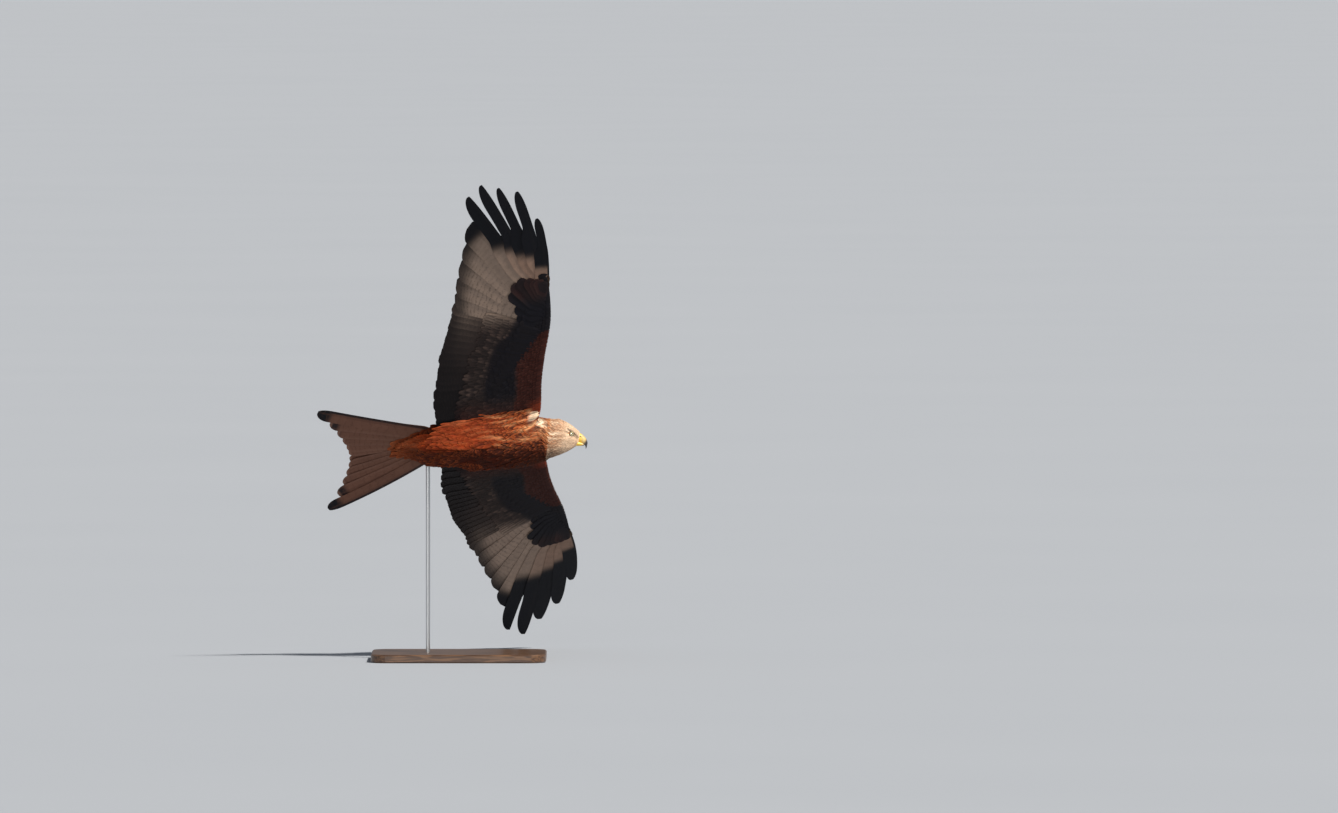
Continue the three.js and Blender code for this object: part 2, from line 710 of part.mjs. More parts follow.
function tailSolid() {
  const feathers = [];
  for (const side of [-1, 1]) feathers.push(...count(TAIL.pairs, (k) => rectrix(k, side)));
  const coverts = TAIL_COVERTS.flatMap((row) => count(row.count, (i) => tailCovert(i, row.face, row)));
  const vanes = [...feathers, ...coverts].map((f) => vane(f, tailSurface));
  return largest(join([trunkSolid(-188, TRUNK_BACK - GAP), ...vanes]));
}

// Legs, tucked back under the tail: feathered thigh, then the bare foot with its toes curled
const THIGH = { from: [-8, 25, -46], knee: [-48, 24, -49], to: [-92, 17, -46] };
const FOOT = { above: [-80, 18, -50], ankle: [-92, 16, -48.5], end: [-139, 13, -28] };

function vectors(...list) {
  return list.map((p) => new THREE.Vector3(...p));
}

function thighSolid() {
  const line = new THREE.CatmullRomCurve3(vectors(THIGH.from, THIGH.knee, THIGH.to));
  const points = line.getPoints(5);
  const radius = through([0, 9], [0.3, 18], [0.6, 15], [1, 7]);
  const made = tube(points, points.map((_, i) => radius(i / 5)), 10);
  const clear = join([trunkSolid(-200, NECK_FROM, GAP), footBlock()]);
  return largest(made.subtract(clear));
}

// Toes as [sideways, length, reach down]; the last is the hind toe
const TOES = [[-6.5, 28, -9], [0, 32, -10], [6.5, 29, -9], [1, 17, -9]];

// A toe curls back on itself and ends in a hooked claw
function toeLine(toe, side) {
  const [across, length, drop] = toe;
  const [x, y, z] = FOOT.end;
  const back = toe === TOES[3] ? 0.35 : 1;
  const tip = [x - length * 0.62 * back, side * y + across * 1.2, z + drop];
  return vectors(
    [x + 3, side * y + across * 0.5, z],
    [x - length * 0.45 * back, side * y + across, z + drop * 0.15],
    [x - length * 0.75 * back, side * y + across * 1.15, z + drop * 0.6],
    tip,
    [tip[0] + 6.5, tip[1], tip[2] - 3.2],
    [tip[0] + 10.5, tip[1], tip[2] + 1.2],
  );
}

function footSolid(side) {
  const ankle = new THREE.Vector3(FOOT.ankle[0], side * FOOT.ankle[1], FOOT.ankle[2]);
  const end = new THREE.Vector3(FOOT.end[0], side * FOOT.end[1], FOOT.end[2]);
  const shank = tube([ankle, ankle.clone().lerp(end, 0.5), end], [4.6, 3.9, 5], 8);
  const toes = TOES.map((toe) => tube(toeLine(toe, side), [3.6, 3.3, 2.9, 2, 1.4, 0.3], 5));
  return join([shank, ball(end.toArray(), 5.4, 8), ...toes]);
}

function footBlock() {
  return tube(vectors(FOOT.above, FOOT.ankle, FOOT.end), [4.6 + GAP, 4.6 + GAP, 5 + GAP], 10);
}

// The stand: the rod rises straight up, so in the bird's own frame it leans
const toWorld = new THREE.Matrix4().compose(
  new THREE.Vector3(...BIRD_PLACE),
  bodyTurn,
  new THREE.Vector3(1, 1, 1),
);
const rodEntry = new THREE.Vector3(ROD.at, 8, trunkAxis(ROD.at) - 6).applyMatrix4(toWorld);

function rodSolid(grow = 0) {
  const top = rodEntry.z + (grow ? GAP : 0);
  const length = top - BASE.thick + 8;
  const rod = new THREE.CylinderGeometry(ROD.radius + grow, ROD.radius + grow, length, ROD.sides);
  rod.rotateX(Math.PI / 2).translate(rodEntry.x, rodEntry.y, top - length / 2);
  return solidOf(rod);
}

function baseSolid() {
  const { length, width, thick, corner, edge } = BASE;
  const outline = new THREE.Shape();
  const [hx, hy] = [length / 2 - edge, width / 2 - edge];
  outline.absarc(hx - corner, hy - corner, corner, 0, Math.PI / 2);
  outline.absarc(-hx + corner, hy - corner, corner, Math.PI / 2, Math.PI);
  outline.absarc(-hx + corner, -hy + corner, corner, Math.PI, Math.PI * 1.5);
  outline.absarc(hx - corner, -hy + corner, corner, Math.PI * 1.5, Math.PI * 2);
  const plate = new THREE.ExtrudeGeometry(outline, {
    depth: thick - 2 * edge,
    bevelThickness: edge,
    bevelSize: edge,
    bevelSegments: 1,
    curveSegments: 4,
  });
  plate.translate(0, 0, edge);
  const seat = new THREE.CylinderGeometry(ROD.radius + GAP, ROD.radius + GAP, 20, ROD.sides);
  seat.rotateX(Math.PI / 2).translate(rodEntry.x, rodEntry.y, BASE.thick - 8 - GAP + 10);
  return solidOf(plate).subtract(solidOf(seat));
}

// Looks of each node: colour, roughness and metalness
const LOOKS = {
  plumage: [0xa4491f, 0.8, 0],
  pale: [0xc9b8a6, 0.8, 0],
  bill: [0xe0a92e, 0.45, 0],
  eye: [0xd9cf9b, 0.1, 0],
  flight: [0x2a211c, 0.75, 0],
  tail: [0xb08a6c, 0.8, 0],
  foot: [0xd8a92c, 0.55, 0],
  wood: [0x3a2a20, 0.4, 0],
  steel: [0xb8bcc0, 0.35, 1],
};

function meshOf(name, solid, look) {
  const made = solid.getMesh();
  const geometry = new THREE.BufferGeometry()
    .setAttribute("position", new THREE.BufferAttribute(new Float32Array(made.vertProperties), 3))
    .setIndex(new THREE.BufferAttribute(new Uint32Array(made.triVerts), 1));
  geometry.computeVertexNormals();
  const [color, roughness, metalness] = LOOKS[look];
  const mesh = new THREE.Mesh(geometry, new THREE.MeshStandardMaterial({ color, roughness, metalness }));
  mesh.name = name;
  return mesh;
}

const mirror = new THREE.Matrix4().makeScale(1, -1, 1);
const model = new THREE.Group();
const bird = new THREE.Group();
bird.quaternion.copy(bodyTurn);
bird.position.set(...BIRD_PLACE);
const headGroup = new THREE.Group();
headGroup.applyMatrix4(headMatrix);
bird.add(headGroup);
model.add(bird);

bird.add(meshOf("torso", trunkSolid(TRUNK_BACK, NECK_FROM), "plumage"));
bird.add(meshOf("neck", neckSolid(), "plumage"));
headGroup.add(meshOf("head", head(), "pale"));
headGroup.add(meshOf("bill_upper", billUpper(), "bill"));
headGroup.add(meshOf("bill_lower", billLower(), "bill"));
for (const [name, side] of [["left", 1], ["right", -1]]) {
  headGroup.add(meshOf(`eye_${name}`, ball([EYE.x, side * EYE.y, EYE.z], EYE.radius, 12), "eye"));
}

for (const [name, side] of [["left", 1], ["right", -1]]) {
  const sided = (solid) => (side > 0 ? solid : placed(solid, mirror));
  bird.add(meshOf(`wing_${name}_arm`, sided(armSolid(HELD[name])), "flight"));
  bird.add(meshOf(`wing_${name}_hand`, sided(handSolid(HELD[name])), "flight"));
}

const worldToBird = toWorld.clone().invert();
bird.add(meshOf("tail", largest(tailSolid().subtract(placed(rodSolid(GAP), worldToBird))), "tail"));

const thigh = thighSolid();
for (const [name, side] of [["left", 1], ["right", -1]]) {
  bird.add(meshOf(`thigh_${name}`, side > 0 ? thigh : placed(thigh, mirror), "plumage"));
  bird.add(meshOf(`foot_${name}`, footSolid(side), "foot"));
}

model.add(meshOf("stand_base", baseSolid(), "wood"));
model.add(meshOf("stand_rod", rodSolid(), "steel"));

export default model;
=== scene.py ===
import math

import bmesh
import bpy
import numpy as np
from mathutils import Matrix, Quaternion, Vector


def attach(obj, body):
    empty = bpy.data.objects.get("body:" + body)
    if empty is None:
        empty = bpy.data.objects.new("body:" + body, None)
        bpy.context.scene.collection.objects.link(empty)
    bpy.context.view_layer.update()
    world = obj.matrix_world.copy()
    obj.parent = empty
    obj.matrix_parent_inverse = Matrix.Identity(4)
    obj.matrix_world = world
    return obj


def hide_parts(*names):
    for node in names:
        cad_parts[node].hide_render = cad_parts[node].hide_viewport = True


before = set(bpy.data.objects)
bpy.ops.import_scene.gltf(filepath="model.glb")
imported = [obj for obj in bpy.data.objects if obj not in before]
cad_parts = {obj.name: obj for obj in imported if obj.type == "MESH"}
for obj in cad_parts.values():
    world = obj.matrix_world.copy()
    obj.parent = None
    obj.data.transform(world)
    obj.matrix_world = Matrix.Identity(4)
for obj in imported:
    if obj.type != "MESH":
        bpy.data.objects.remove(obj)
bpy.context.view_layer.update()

# A red kite in a steep bank. Shapes are worked out in millimetres in the bird's own level frame (X forward,
# Y to its left, Z towards its back), and each mesh is then turned and lifted into the model.

birdPose = {"place": (75, -25, 528), "bank": -46, "pitchUp": 5}
headPose = {"place": (180, 0, -5), "bank": -13, "down": 12}
sides = ((1, "left"), (-1, "right"))
fullTurn = 2 * math.pi
dice = np.random.default_rng(41)


def turned(degrees, axis):
    return Matrix.Rotation(math.radians(degrees), 4, axis)


bodyTurn = turned(-birdPose["pitchUp"], "Y") @ turned(birdPose["bank"], "X")
birdToWorld = Matrix.Scale(0.001, 4) @ Matrix.Translation(birdPose["place"]) @ bodyTurn
headTurn = turned(headPose["down"], "Y") @ turned(headPose["bank"], "X")
headToBird = Matrix.Translation(headPose["place"]) @ bodyTurn.inverted() @ headTurn
headToWorld = birdToWorld @ headToBird


# Numbers

def ease(t):
    t = np.clip(t, 0, 1)
    return t * t * (3 - 2 * t)


def mix(a, b, t):
    return a + (b - a) * t


def bell(x, middle, reach):
    return np.exp(-(((x - middle) / reach) ** 2))


def through(*pairs):  # a smooth function through a few (place, value) pairs
    xs, ys = np.array(pairs, float).T
    secant = np.diff(ys) / np.diff(xs)
    before, after = secant[:-1], secant[1:]
    crest = before * after <= 0
    slope = np.where(crest, 0, 2 * before * after / np.where(crest, 1, before + after))
    slope = np.concatenate([secant[:1], slope, secant[-1:]])

    def at(x):
        x = np.clip(x, xs[0], xs[-1])
        i = np.clip(np.searchsorted(xs, x, side="right") - 1, 0, len(xs) - 2)
        width = xs[i + 1] - xs[i]
        t = (x - xs[i]) / width
        bend = width * t * (1 - t) * ((1 - t) * slope[i] - t * slope[i + 1])
        return mix(ys[i], ys[i + 1], ease(t)) + bend

    return at


def column(values):
    return np.asarray(values, float).reshape(-1, 1)


def columns(f):  # so that each feather's numbers spread over its vertices
    return {key: column(values) for key, values in f.items()}


def moved(matrix, points):
    m = np.array(matrix)
    return points @ m[:3, :3].T + m[:3, 3]


# Shader maths: a wire is a socket that Python's operators can be used on

class Wire:
    def __init__(self, finish, socket):
        self.finish = finish
        self.socket = socket

    def __add__(self, other):
        return self.finish.maths("ADD", self, other)

    def __sub__(self, other):
        return self.finish.maths("SUBTRACT", self, other)

    def __rsub__(self, other):
        return self.finish.maths("SUBTRACT", other, self)

    def __mul__(self, other):
        return self.finish.maths("MULTIPLY", self, other)

    __radd__ = __add__
    __rmul__ = __mul__


class Finish:  # one material, and the nodes that make it
    def __init__(self, name, fixed):
        self.material = bpy.data.materials.new(name)
        self.material.use_nodes = True
        self.tree = self.material.node_tree
        self.tree.nodes.clear()
        self.shader = self.tree.nodes.new("ShaderNodeBsdfPrincipled")
        out = self.tree.nodes.new("ShaderNodeOutputMaterial")
        self.tree.links.new(self.shader.outputs[0], out.inputs[0])
        for socket, value in fixed.items():
            self.shader.inputs[socket].default_value = value

    def node(self, kind, settings, sockets, output=0):
        made = self.tree.nodes.new(kind)
        for key, value in settings.items():
            setattr(made, key, value)
        for key, value in sockets.items():
            if isinstance(value, Wire):
                self.tree.links.new(value.socket, made.inputs[key])
            else:
                made.inputs[key].default_value = value
        return Wire(self, made.outputs[output])

    def feed(self, socket, wire):
        self.tree.links.new(wire.socket, self.shader.inputs[socket])

    def maths(self, operation, *values):
        return self.node("ShaderNodeMath", {"operation": operation}, dict(enumerate(values)))

    def place(self, **mapping):  # the object's own coordinates
        spot = self.node("ShaderNodeTexCoord", {}, {}, "Object")
        return self.node("ShaderNodeMapping", {}, {"Vector": spot, **mapping}) if mapping else spot

    def fourOf(self, attribute):  # the four numbers that each vertex carries under a name
        colour = self.node("ShaderNodeAttribute", {"attribute_name": attribute}, {}, "Color")
        fourth = self.node("ShaderNodeAttribute", {"attribute_name": attribute}, {}, "Alpha")
        return [*[self.node("ShaderNodeSeparateColor", {}, {0: colour}, i) for i in range(3)], fourth]

    def noise(self, place, scale, detail=2):
        return self.node("ShaderNodeTexNoise", {}, {"Vector": place, "Scale": scale, "Detail": detail})

    def rise(self, value, low, high):  # a soft step from 0 at low to 1 at high
        settings = {"interpolation_type": "SMOOTHSTEP"}
        return self.node("ShaderNodeMapRange", settings, {"Value": value, "From Min": low, "From Max": high})

    def blend(self, first, second, amount):  # colours
        first, second = [(*c, 1) if isinstance(c, tuple) else c for c in (first, second)]
        return self.node("ShaderNodeMix", {"data_type": "RGBA"}, {0: amount, 6: first, 7: second}, 2)

    def scaled(self, colour, amount):
        return self.node("ShaderNodeVectorMath", {"operation": "SCALE"}, {0: colour, "Scale": amount})

    def bump(self, height, strength, distance):
        sockets = {"Height": height, "Strength": strength, "Distance": distance}
        self.feed("Normal", self.node("ShaderNodeBump", {}, sockets))


def grained(name, fixed, low, high, scale, detail, bump=None, **mapping):  # two colours mixed by a fine grain
    f = Finish(name, fixed)
    grain = f.noise(f.place(**mapping), scale, detail)
    f.feed("Base Color", f.blend(low, high, grain))
    if bump:
        f.bump(grain, *bump)
    return f.material


# The feather finish reads three sets of numbers from the mesh: "lie" (along, across, chance, upper face),
# "mark" (how much dark, pale, third and fourth colour) and "trim" (fringe, shaft streak, bars, spot).

plainLook = {
    "rough": 0.7, "shine": 0.12, "grain": (1, 1, 1), "mottle": 90, "vary": 0.26, "blotch": 0.34,
    "level": 0.72, "barCount": 60, "barSlant": 2, "barFrom": 0.1, "sidesFrom": 0.72, "sides": 1,
    "fringeFrom": 0.86, "streakFrom": 0.55, "streakTo": 1, "streakEnd": 0.12, "barbs": 150,
    "barbSlant": 0.12, "bump": 0.25,
}


def plumage(name, look):
    look = {**plainLook, **look}
    f = Finish(name, {"Roughness": look["rough"], "Specular IOR Level": look["shine"]})
    along, across, chance, _ = f.fourOf("lie")
    dark, pale, third, fourth = f.fourOf("mark")
    fringe, streak, bars, spot = f.fourOf("trim")
    edge = f.maths("ABSOLUTE", across * 2 - 1)
    place = f.place()
    mottle = f.noise(f.place(Scale=look["grain"]), look["mottle"], 3)
    fine = f.noise(place, 900)
    colour = look["ground"]
    for key, amount in (("pale", pale), ("third", third), ("fourth", fourth), ("dark", dark)):
        colour = f.blend(colour, look[key], amount)
    waves = f.maths("SINE", along * look["barCount"] + mottle * 8 + edge * look["barSlant"] + chance * 6)
    broken = f.rise(f.noise(place, 240), 0.4, 0.6)
    colour = f.blend(colour, look["bar"], f.rise(waves, look["barFrom"], 0.95) * broken * bars)
    rim = f.rise(edge + fine * 0.3, look["sidesFrom"], 1.05) * look["sides"]
    end = f.rise(along + fine * 0.08, look["fringeFrom"], 0.99)
    colour = f.blend(colour, look["fringe"], f.maths("MAXIMUM", rim, end) * fringe)
    shaft = f.rise(1 - edge + fine * 0.25, look["streakFrom"], look["streakTo"])
    shaft = shaft * f.rise(along, 0.1, 0.4) * f.rise(1 - along, 0, look["streakEnd"])
    colour = f.blend(colour, look["streak"], shaft * streak)
    dot = f.rise(along, 0.72, 0.86) * f.rise(1.25 - along - edge * 0.4, 0.05, 0.25)
    colour = f.blend(colour, look["spot"], dot * spot)
    level = 1.02 - (look["vary"] + look["blotch"]) / 2
    level = (chance * look["vary"] + mottle * look["blotch"] + level) * look["level"]
    f.feed("Base Color", f.scaled(colour, level))
    barbs = f.maths("SINE", (along - edge * look["barbSlant"]) * look["barbs"])
    f.bump(barbs * 0.5 + fine, look["bump"], 0.0006)
    return f.material


# Feathers: one closed thin sheet, copied as arrays

def vaneSheet(along, across):
    bm = bmesh.new()
    bmesh.ops.create_grid(bm, x_segments=along, y_segments=across, size=1)
    bmesh.ops.solidify(bm, geom=bm.faces[:], thickness=1)
    bmesh.ops.recalc_face_normals(bm, faces=bm.faces[:])
    places = np.array([v.co for v in bm.verts])
    faces = [[v.index for v in face.verts] for face in bm.faces]
    bm.free()
    ordered = sorted(f[f.index(min(f)):] + f[:f.index(min(f))] for f in faces)  # the same on each run
    upper = places[:, 2] > (places[:, 2].min() + places[:, 2].max()) / 2
    return {"t": (places[:, 0] + 1) / 2, "s": places[:, 1], "upper": upper * 1.0, "faces": np.array(ordered)}


sheets = {
    "small": vaneSheet(4, 2),
    "body": vaneSheet(6, 2),
    "covert": vaneSheet(9, 4),
    "long": vaneSheet(34, 10),
}
tipPower = {"laid": 1.4, "draped": 1.3}


def finerTip(t, manner):  # moves a sheet's steps towards the tip, where the outline bends most
    return 1 - (1 - t) ** tipPower[manner]


def vaneWidth(t, quill, tipFrom, blunt):
    past = np.clip((t - tipFrom) / (1 - tipFrom), 0, 1)
    return mix(0.16, 1, ease(t / quill)) * np.sqrt(np.clip(1 - blunt * past**2, 0.02, 1))


def facesOut(points, faces):  # turns the faces round if the first copy is inside out
    a, b, c, d = [points[faces[:, i]] for i in range(4)]
    volume = (np.cross(a, b) * c).sum() + (np.cross(a, c) * d).sum()
    return faces if volume > 0 else faces[:, ::-1]


def carry(mesh, label, parts):  # four numbers for each vertex, under one name
    values = np.stack([np.broadcast_to(p, len(mesh.vertices)) for p in parts], axis=1).astype(np.float32)
    mesh.attributes.new(label, "FLOAT_COLOR", "POINT").data.foreach_set("color", values.ravel())


def vertexPlaces(mesh):
    places = np.empty(len(mesh.vertices) * 3, np.float32)
    mesh.vertices.foreach_get("co", places)
    return places.reshape(-1, 3).astype(float)


def placed(name, mesh):
    piece = bpy.data.objects.new(name, mesh)
    bpy.context.collection.objects.link(piece)
    return piece


def settle(piece, finish, *nodes):  # its material and slot, and the CAD nodes whose place it takes
    piece.data.materials.append(finishes[finish])
    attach(piece, "root")
    if nodes:
        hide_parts(*nodes)


tuft = {"patch": (0.003, 0.003), "margin": 0.96, "sharp": 55}


def featherPiece(name, kind, points, chance, mark, trim, patch, finish, size=tuft["patch"]):
    sheet = sheets[kind]
    count, each = points.shape[:2]
    faces = facesOut(points[0] - points[0].mean(axis=0), sheet["faces"])
    faces = (faces + (np.arange(count) * each)[:, None, None]).reshape(-1, 4)
    mesh = bpy.data.meshes.new(name)
    mesh.from_pydata(moved(birdToWorld, points.reshape(-1, 3)), [], faces)
    full = lambda values: np.broadcast_to(values, (count, each)).reshape(-1)
    across = (sheet["s"] + 1) / 2
    lie = (sheet["t"], across, column(chance), sheet["upper"])
    for label, parts in (("lie", lie), ("mark", mark), ("trim", trim)):
        carry(mesh, label, [full(p) for p in parts])
    u = column(patch[:, 0]) + (across + sheet["upper"]) / 2 * size[0] * tuft["margin"]
    v = column(patch[:, 1]) + sheet["t"] * size[1] * tuft["margin"]
    uv = np.stack([full(u), full(v)], axis=1).astype(np.float32)
    mesh.uv_layers.new(name="OFBake").data.foreach_set("uv", uv[faces.ravel()].ravel())
    mesh.shade_smooth()
    mesh.set_sharp_from_angle(angle=math.radians(tuft["sharp"]))
    settle(placed(name, mesh), finish)
    print(f"{name}: {count} feathers, {2 * len(faces)} triangles")


def strips(count):  # side by side places for big feathers, each with its upper and under face
    return np.stack([np.arange(count) / count, np.full(count, 0.01)], axis=1), (1 / count, 0.98)


# The trunk, neck and head: rings along one line from the tail to the bill

trunkForm = {
    "axis": through((-190, 9), (-165, 10), (-140, 7), (-105, -1), (-60, -9), (0, -14), (60, -13), (132, -8)),
    "half": through(
        (-190, 22), (-165, 33), (-140, 40), (-105, 45), (-60, 51), (0, 58), (55, 62), (100, 60), (140, 51)
    ),
    "top": through(
        (-190, 11), (-165, 20), (-140, 28), (-105, 35), (-60, 41), (0, 46), (55, 50), (100, 50), (140, 45)
    ),
    "under": through(
        (-190, 10), (-165, 18), (-140, 27), (-105, 39), (-60, 49), (0, 58), (55, 62), (100, 59), (140, 53)
    ),
    "tailOn": -250, "back": -188, "front": 118, "rings": 46,
    "thin": ((2, 26, 3, 3), (9, 22.5, 11.5, 10.5)),  # height and sizes at the tail end, and at the back
}
headForm = {
    "axis": through((-40, 2), (0, 3), (36, 2)),
    "half": through((-40, 44), (-24, 39), (-8, 32), (8, 25.5), (20, 20), (30, 13.5), (37, 8.5)),
    "top": through((-40, 38), (-24, 36), (-8, 32.5), (8, 27), (20, 21.5), (30, 16.5), (37, 11)),
    "under": through((-40, 68), (-24, 63), (-8, 54), (8, 43), (20, 32.5), (30, 22), (37, 13.5)),
    "back": -24, "front": 37, "throat": 4, "rings": 30,
}
headSwells = (  # brow over the eye, hollow before it, cheek behind the gape
    {"x": 15, "up": 33, "reach": 9, "spread": 12, "size": 2.6},
    {"x": 25, "up": 6, "reach": 5, "spread": 20, "size": -2},
    {"x": 2, "up": -30, "reach": 12, "spread": 26, "size": 1.6},
)
offHead = -99  # stands for the place along the head in rings that aren't on it


def sizesAt(form, x):
    return [form[key](x) for key in ("half", "top", "under")]


def bodyLine():
    rows, level = [], Quaternion()
    tailOn, x0, x1 = trunkForm["tailOn"], trunkForm["back"], trunkForm["front"]
    for x in np.linspace(tailOn, x0, 8)[:-1]:  # thins out under the tail coverts
        z, *sizes = [mix(a, b, (x - tailOn) / (x0 - tailOn)) for a, b in zip(*trunkForm["thin"])]
        rows.append((Vector((x, 0, z)), level, *sizes, offHead))
    for x in np.linspace(x0, x1, trunkForm["rings"]):
        rows.append((Vector((x, 0, trunkForm["axis"](x))), level, *sizesAt(trunkForm, x), offHead))
    start, turn = rows[-1][0], headToBird.to_quaternion()
    headRows = []
    for x in np.linspace(headForm["back"], headForm["front"], headForm["rings"]):
        centre = headToBird @ Vector((x, 0, headForm["axis"](x)))
        headRows.append((centre, turn, *sizesAt(headForm, x), x))
    low, high = rows[-1][2:5], headRows[0][2:5]
    for t in np.linspace(0, 1, 12)[1:-1]:
        half, top, under = [mix(a, b, share) for a, b, share in zip(low, high, (t, ease(t), t))]
        under += headForm["throat"] * math.sin(math.pi * t)
        turning = Quaternion().slerp(turn, float(ease(t)))
        rows.append((start.lerp(headRows[0][0], t), turning, half, top, under, offHead))
    rows += headRows
    centres = np.array([r[0] for r in rows])
    sideways, upwards = [np.array([r[1] @ Vector(way) for r in rows]) for way in ((0, 1, 0), (0, 0, 1))]
    steps = np.linalg.norm(np.diff(centres, axis=0), axis=1)
    u = np.concatenate([[0], np.cumsum(steps)]) + tailOn
    sizes = np.array([[float(v) for v in r[2:]] for r in rows])
    return {"u": u, "table": np.hstack([centres, sideways, upwards, sizes])}


body = bodyLine()
headFrom = float(body["u"][-headForm["rings"]])  # where the head's rings begin
headTo = float(body["u"][-1])
coatDepth = through(
    (-250, 1), (-188, 3), (-140, 5), (60, 5.5), (118, 5), (headFrom, 3.5), (headTo - 30, 2.4),
    (headTo - 8, 3), (headTo, 3.4),
)


def bodyPlace(u, angle, height):  # angle from the left side over the back; height over the skin
    numbers = [np.interp(u, body["u"], values) for values in body["table"].T]
    cx, cy, cz, sx, sy, sz, ux, uy, uz, half, top, under, headX = numbers
    grow = height - coatDepth(u)
    across = np.cos(angle) * (half + grow)
    rise = np.sin(angle) * (np.where(np.sin(angle) > 0, top, under) + grow)
    reach = np.maximum(np.hypot(across, rise), 1)
    up = np.degrees(np.arctan2(rise, np.abs(across)))
    swell = sum(
        f["size"] * bell(headX, f["x"], f["reach"]) * bell(up, f["up"], f["spread"]) for f in headSwells
    )
    across, rise = across * (1 + swell / reach), rise * (1 + swell / reach)
    frames = ((cx, sx, ux), (cy, sy, uy), (cz, sz, uz))
    return np.stack([c + s * across + v * rise for c, s, v in frames], axis=-1)


def aroundStep(place, u, angle):  # millimetres for each radian round the body
    return np.linalg.norm(place(u, angle + 0.01, 0) - place(u, angle - 0.01, 0), axis=-1) / 0.02


# Feathers draped over a place function: u falls towards the tail, angle goes round

drapedShape = {"quill": 0.35, "tipFrom": 0.42, "blunt": 0.96}


def drapedPoints(place, kind, f):
    sheet, g = sheets[kind], columns(f)
    t, s = finerTip(sheet["t"], "draped"), sheet["s"]
    perRadian = np.maximum(column(aroundStep(place, f["u"], f["angle"])), 1.5)
    forward, sideways = g["length"] * t, s * vaneWidth(t, **drapedShape) * g["half"]
    u = g["u"] - forward * np.cos(g["yaw"]) + sideways * np.sin(g["yaw"])
    angle = g["angle"] + (forward * np.sin(g["yaw"]) + sideways * np.cos(g["yaw"])) / perRadian
    height = mix(g["rootHeight"], g["tipHeight"], t**0.8) - g["camber"] * s**2 * (0.4 + 0.6 * t)
    thick = g["thick"] * mix(1, 0.55, t) * (1 - 0.45 * np.abs(s))
    return place(u, angle, height + (sheet["upper"] - 0.5) * thick)


def staggered(uFrom, uTo, place, pitchOf, stretch=1.0, arc=(0, fullTurn)):  # rows round the body, each offset
    us, angles, u, row = [], [], uFrom, 0
    turn, middle = arc[1] - arc[0], (arc[0] + arc[1]) / 2
    while u < uTo:
        pitch = float(pitchOf(u))
        steps = [aroundStep(place, np.array([u]), np.array([a])) for a in (middle, middle + 1.57)]
        n = max(5, int(turn * sum(float(step[0]) for step in steps) / 2 / pitch))
        angles.append(arc[0] + turn * (np.arange(n) + 0.5 * (row % 2) + 0.25) / n)
        us.append(np.full(n, u))
        u += pitch * 0.9 * stretch
        row += 1
    us, angles = np.concatenate(us), np.concatenate(angles)
    pitch = np.array([float(pitchOf(v)) for v in us])
    us = us + dice.uniform(-0.45, 0.45, len(us)) * pitch * stretch
    spread = dice.uniform(-0.35, 0.35, len(us)) * pitch
    return us, angles + spread / np.maximum(aroundStep(place, us, angles), 2)


# Wings: written for the left wing, Y outwards

leadX = through((30, 112), (90, 131), (160, 137), (235, 149), (290, 161), (335, 169), (400, 173), (470, 174))
rearX = through((30, -72), (70, -48), (120, -8), (175, 34), (245, 80), (318, 122), (380, 138), (440, 150))
trailX = through((50, -124), (95, -126), (155, -129), (213, -116), (280, -105), (365, -79), (430, -68))
wingForm = {
    "height": through(
        (30, -6), (90, 6), (160, 19.5), (235, 36), (331, 53.5), (450, 74), (600, 93), (780, 102)
    ),
    "slope": through((30, 0.07), (160, 0.08), (331, 0.13), (450, 0.16), (600, 0.17), (800, 0.17)),
    "thick": through((30, 30), (90, 27), (175, 21), (318, 14), (380, 10), (440, 5)),
    "over": through((0, 0), (0.03, 0.55), (0.16, 0.95), (0.42, 1), (0.75, 0.86), (1, 0.6)),
    "under": through((0, 0), (0.03, 0.5), (0.16, 0.8), (0.42, 0.86), (0.75, 0.78), (1, 0.6)),
    "slopeFrom": 50, "wrist": 320, "wristReach": 140, "bend": {1: -7, -1: 6}, "root": 24, "end": 438,
    "coat": 2.6,  # feathers over the wing's flesh
    "cover": 6.4,  # how far the outer coverts lie from the middle of the vanes behind the flesh
}


def wingSurface(x, y):
    return wingForm["height"](y) + wingForm["slope"](y) * (x - wingForm["slopeFrom"])


def wingSection(along, face):
    return np.where(face > 0, wingForm["over"](along), wingForm["under"](along))


def wingSkin(x, y, face):  # the flesh, and the coverts' level behind it
    along, half = (leadX(y) - x) / (leadX(y) - rearX(y)), np.maximum(wingForm["thick"](y) / 2, 0.8)
    flesh = wingSection(along, face) * half
    return wingSurface(x, y) + face * mix(flesh, wingForm["cover"], ease((rearX(y) - x) / 45))


def wingPlace(points, side):
    made = points.copy()
    made[..., 0] += wingForm["bend"][side] * bell(made[..., 1], wingForm["wrist"], wingForm["wristReach"])
    made[..., 1] *= side
    return made


plainVane = {
    "quill": 0.3, "tipFrom": 0.86, "blunt": 0.93, "fingerFrom": 2, "finger": 1, "outerFinger": 1,
    "outward": 1, "bow": 0, "slant": 0, "liftRoot": 0, "liftTip": 0, "flex": 0, "tilt": 0, "camber": 0,
    "thick": 0.6, "ridge": 0,
}


def gathered(specs):  # one dictionary of arrays from a list of feathers
    whole = [{**plainVane, **f} for f in specs]
    return {key: np.array([f[key] for f in whole], float) for key in whole[0]}


def leaning(x, y, length, angle, half, **more):  # a feather with even sides that points back and outwards
    tip = {"x1": x - length * math.cos(angle), "y1": y + length * math.sin(angle)}
    return {"x0": x, "y0": y, **tip, "inner": half, "outer": half, **more}


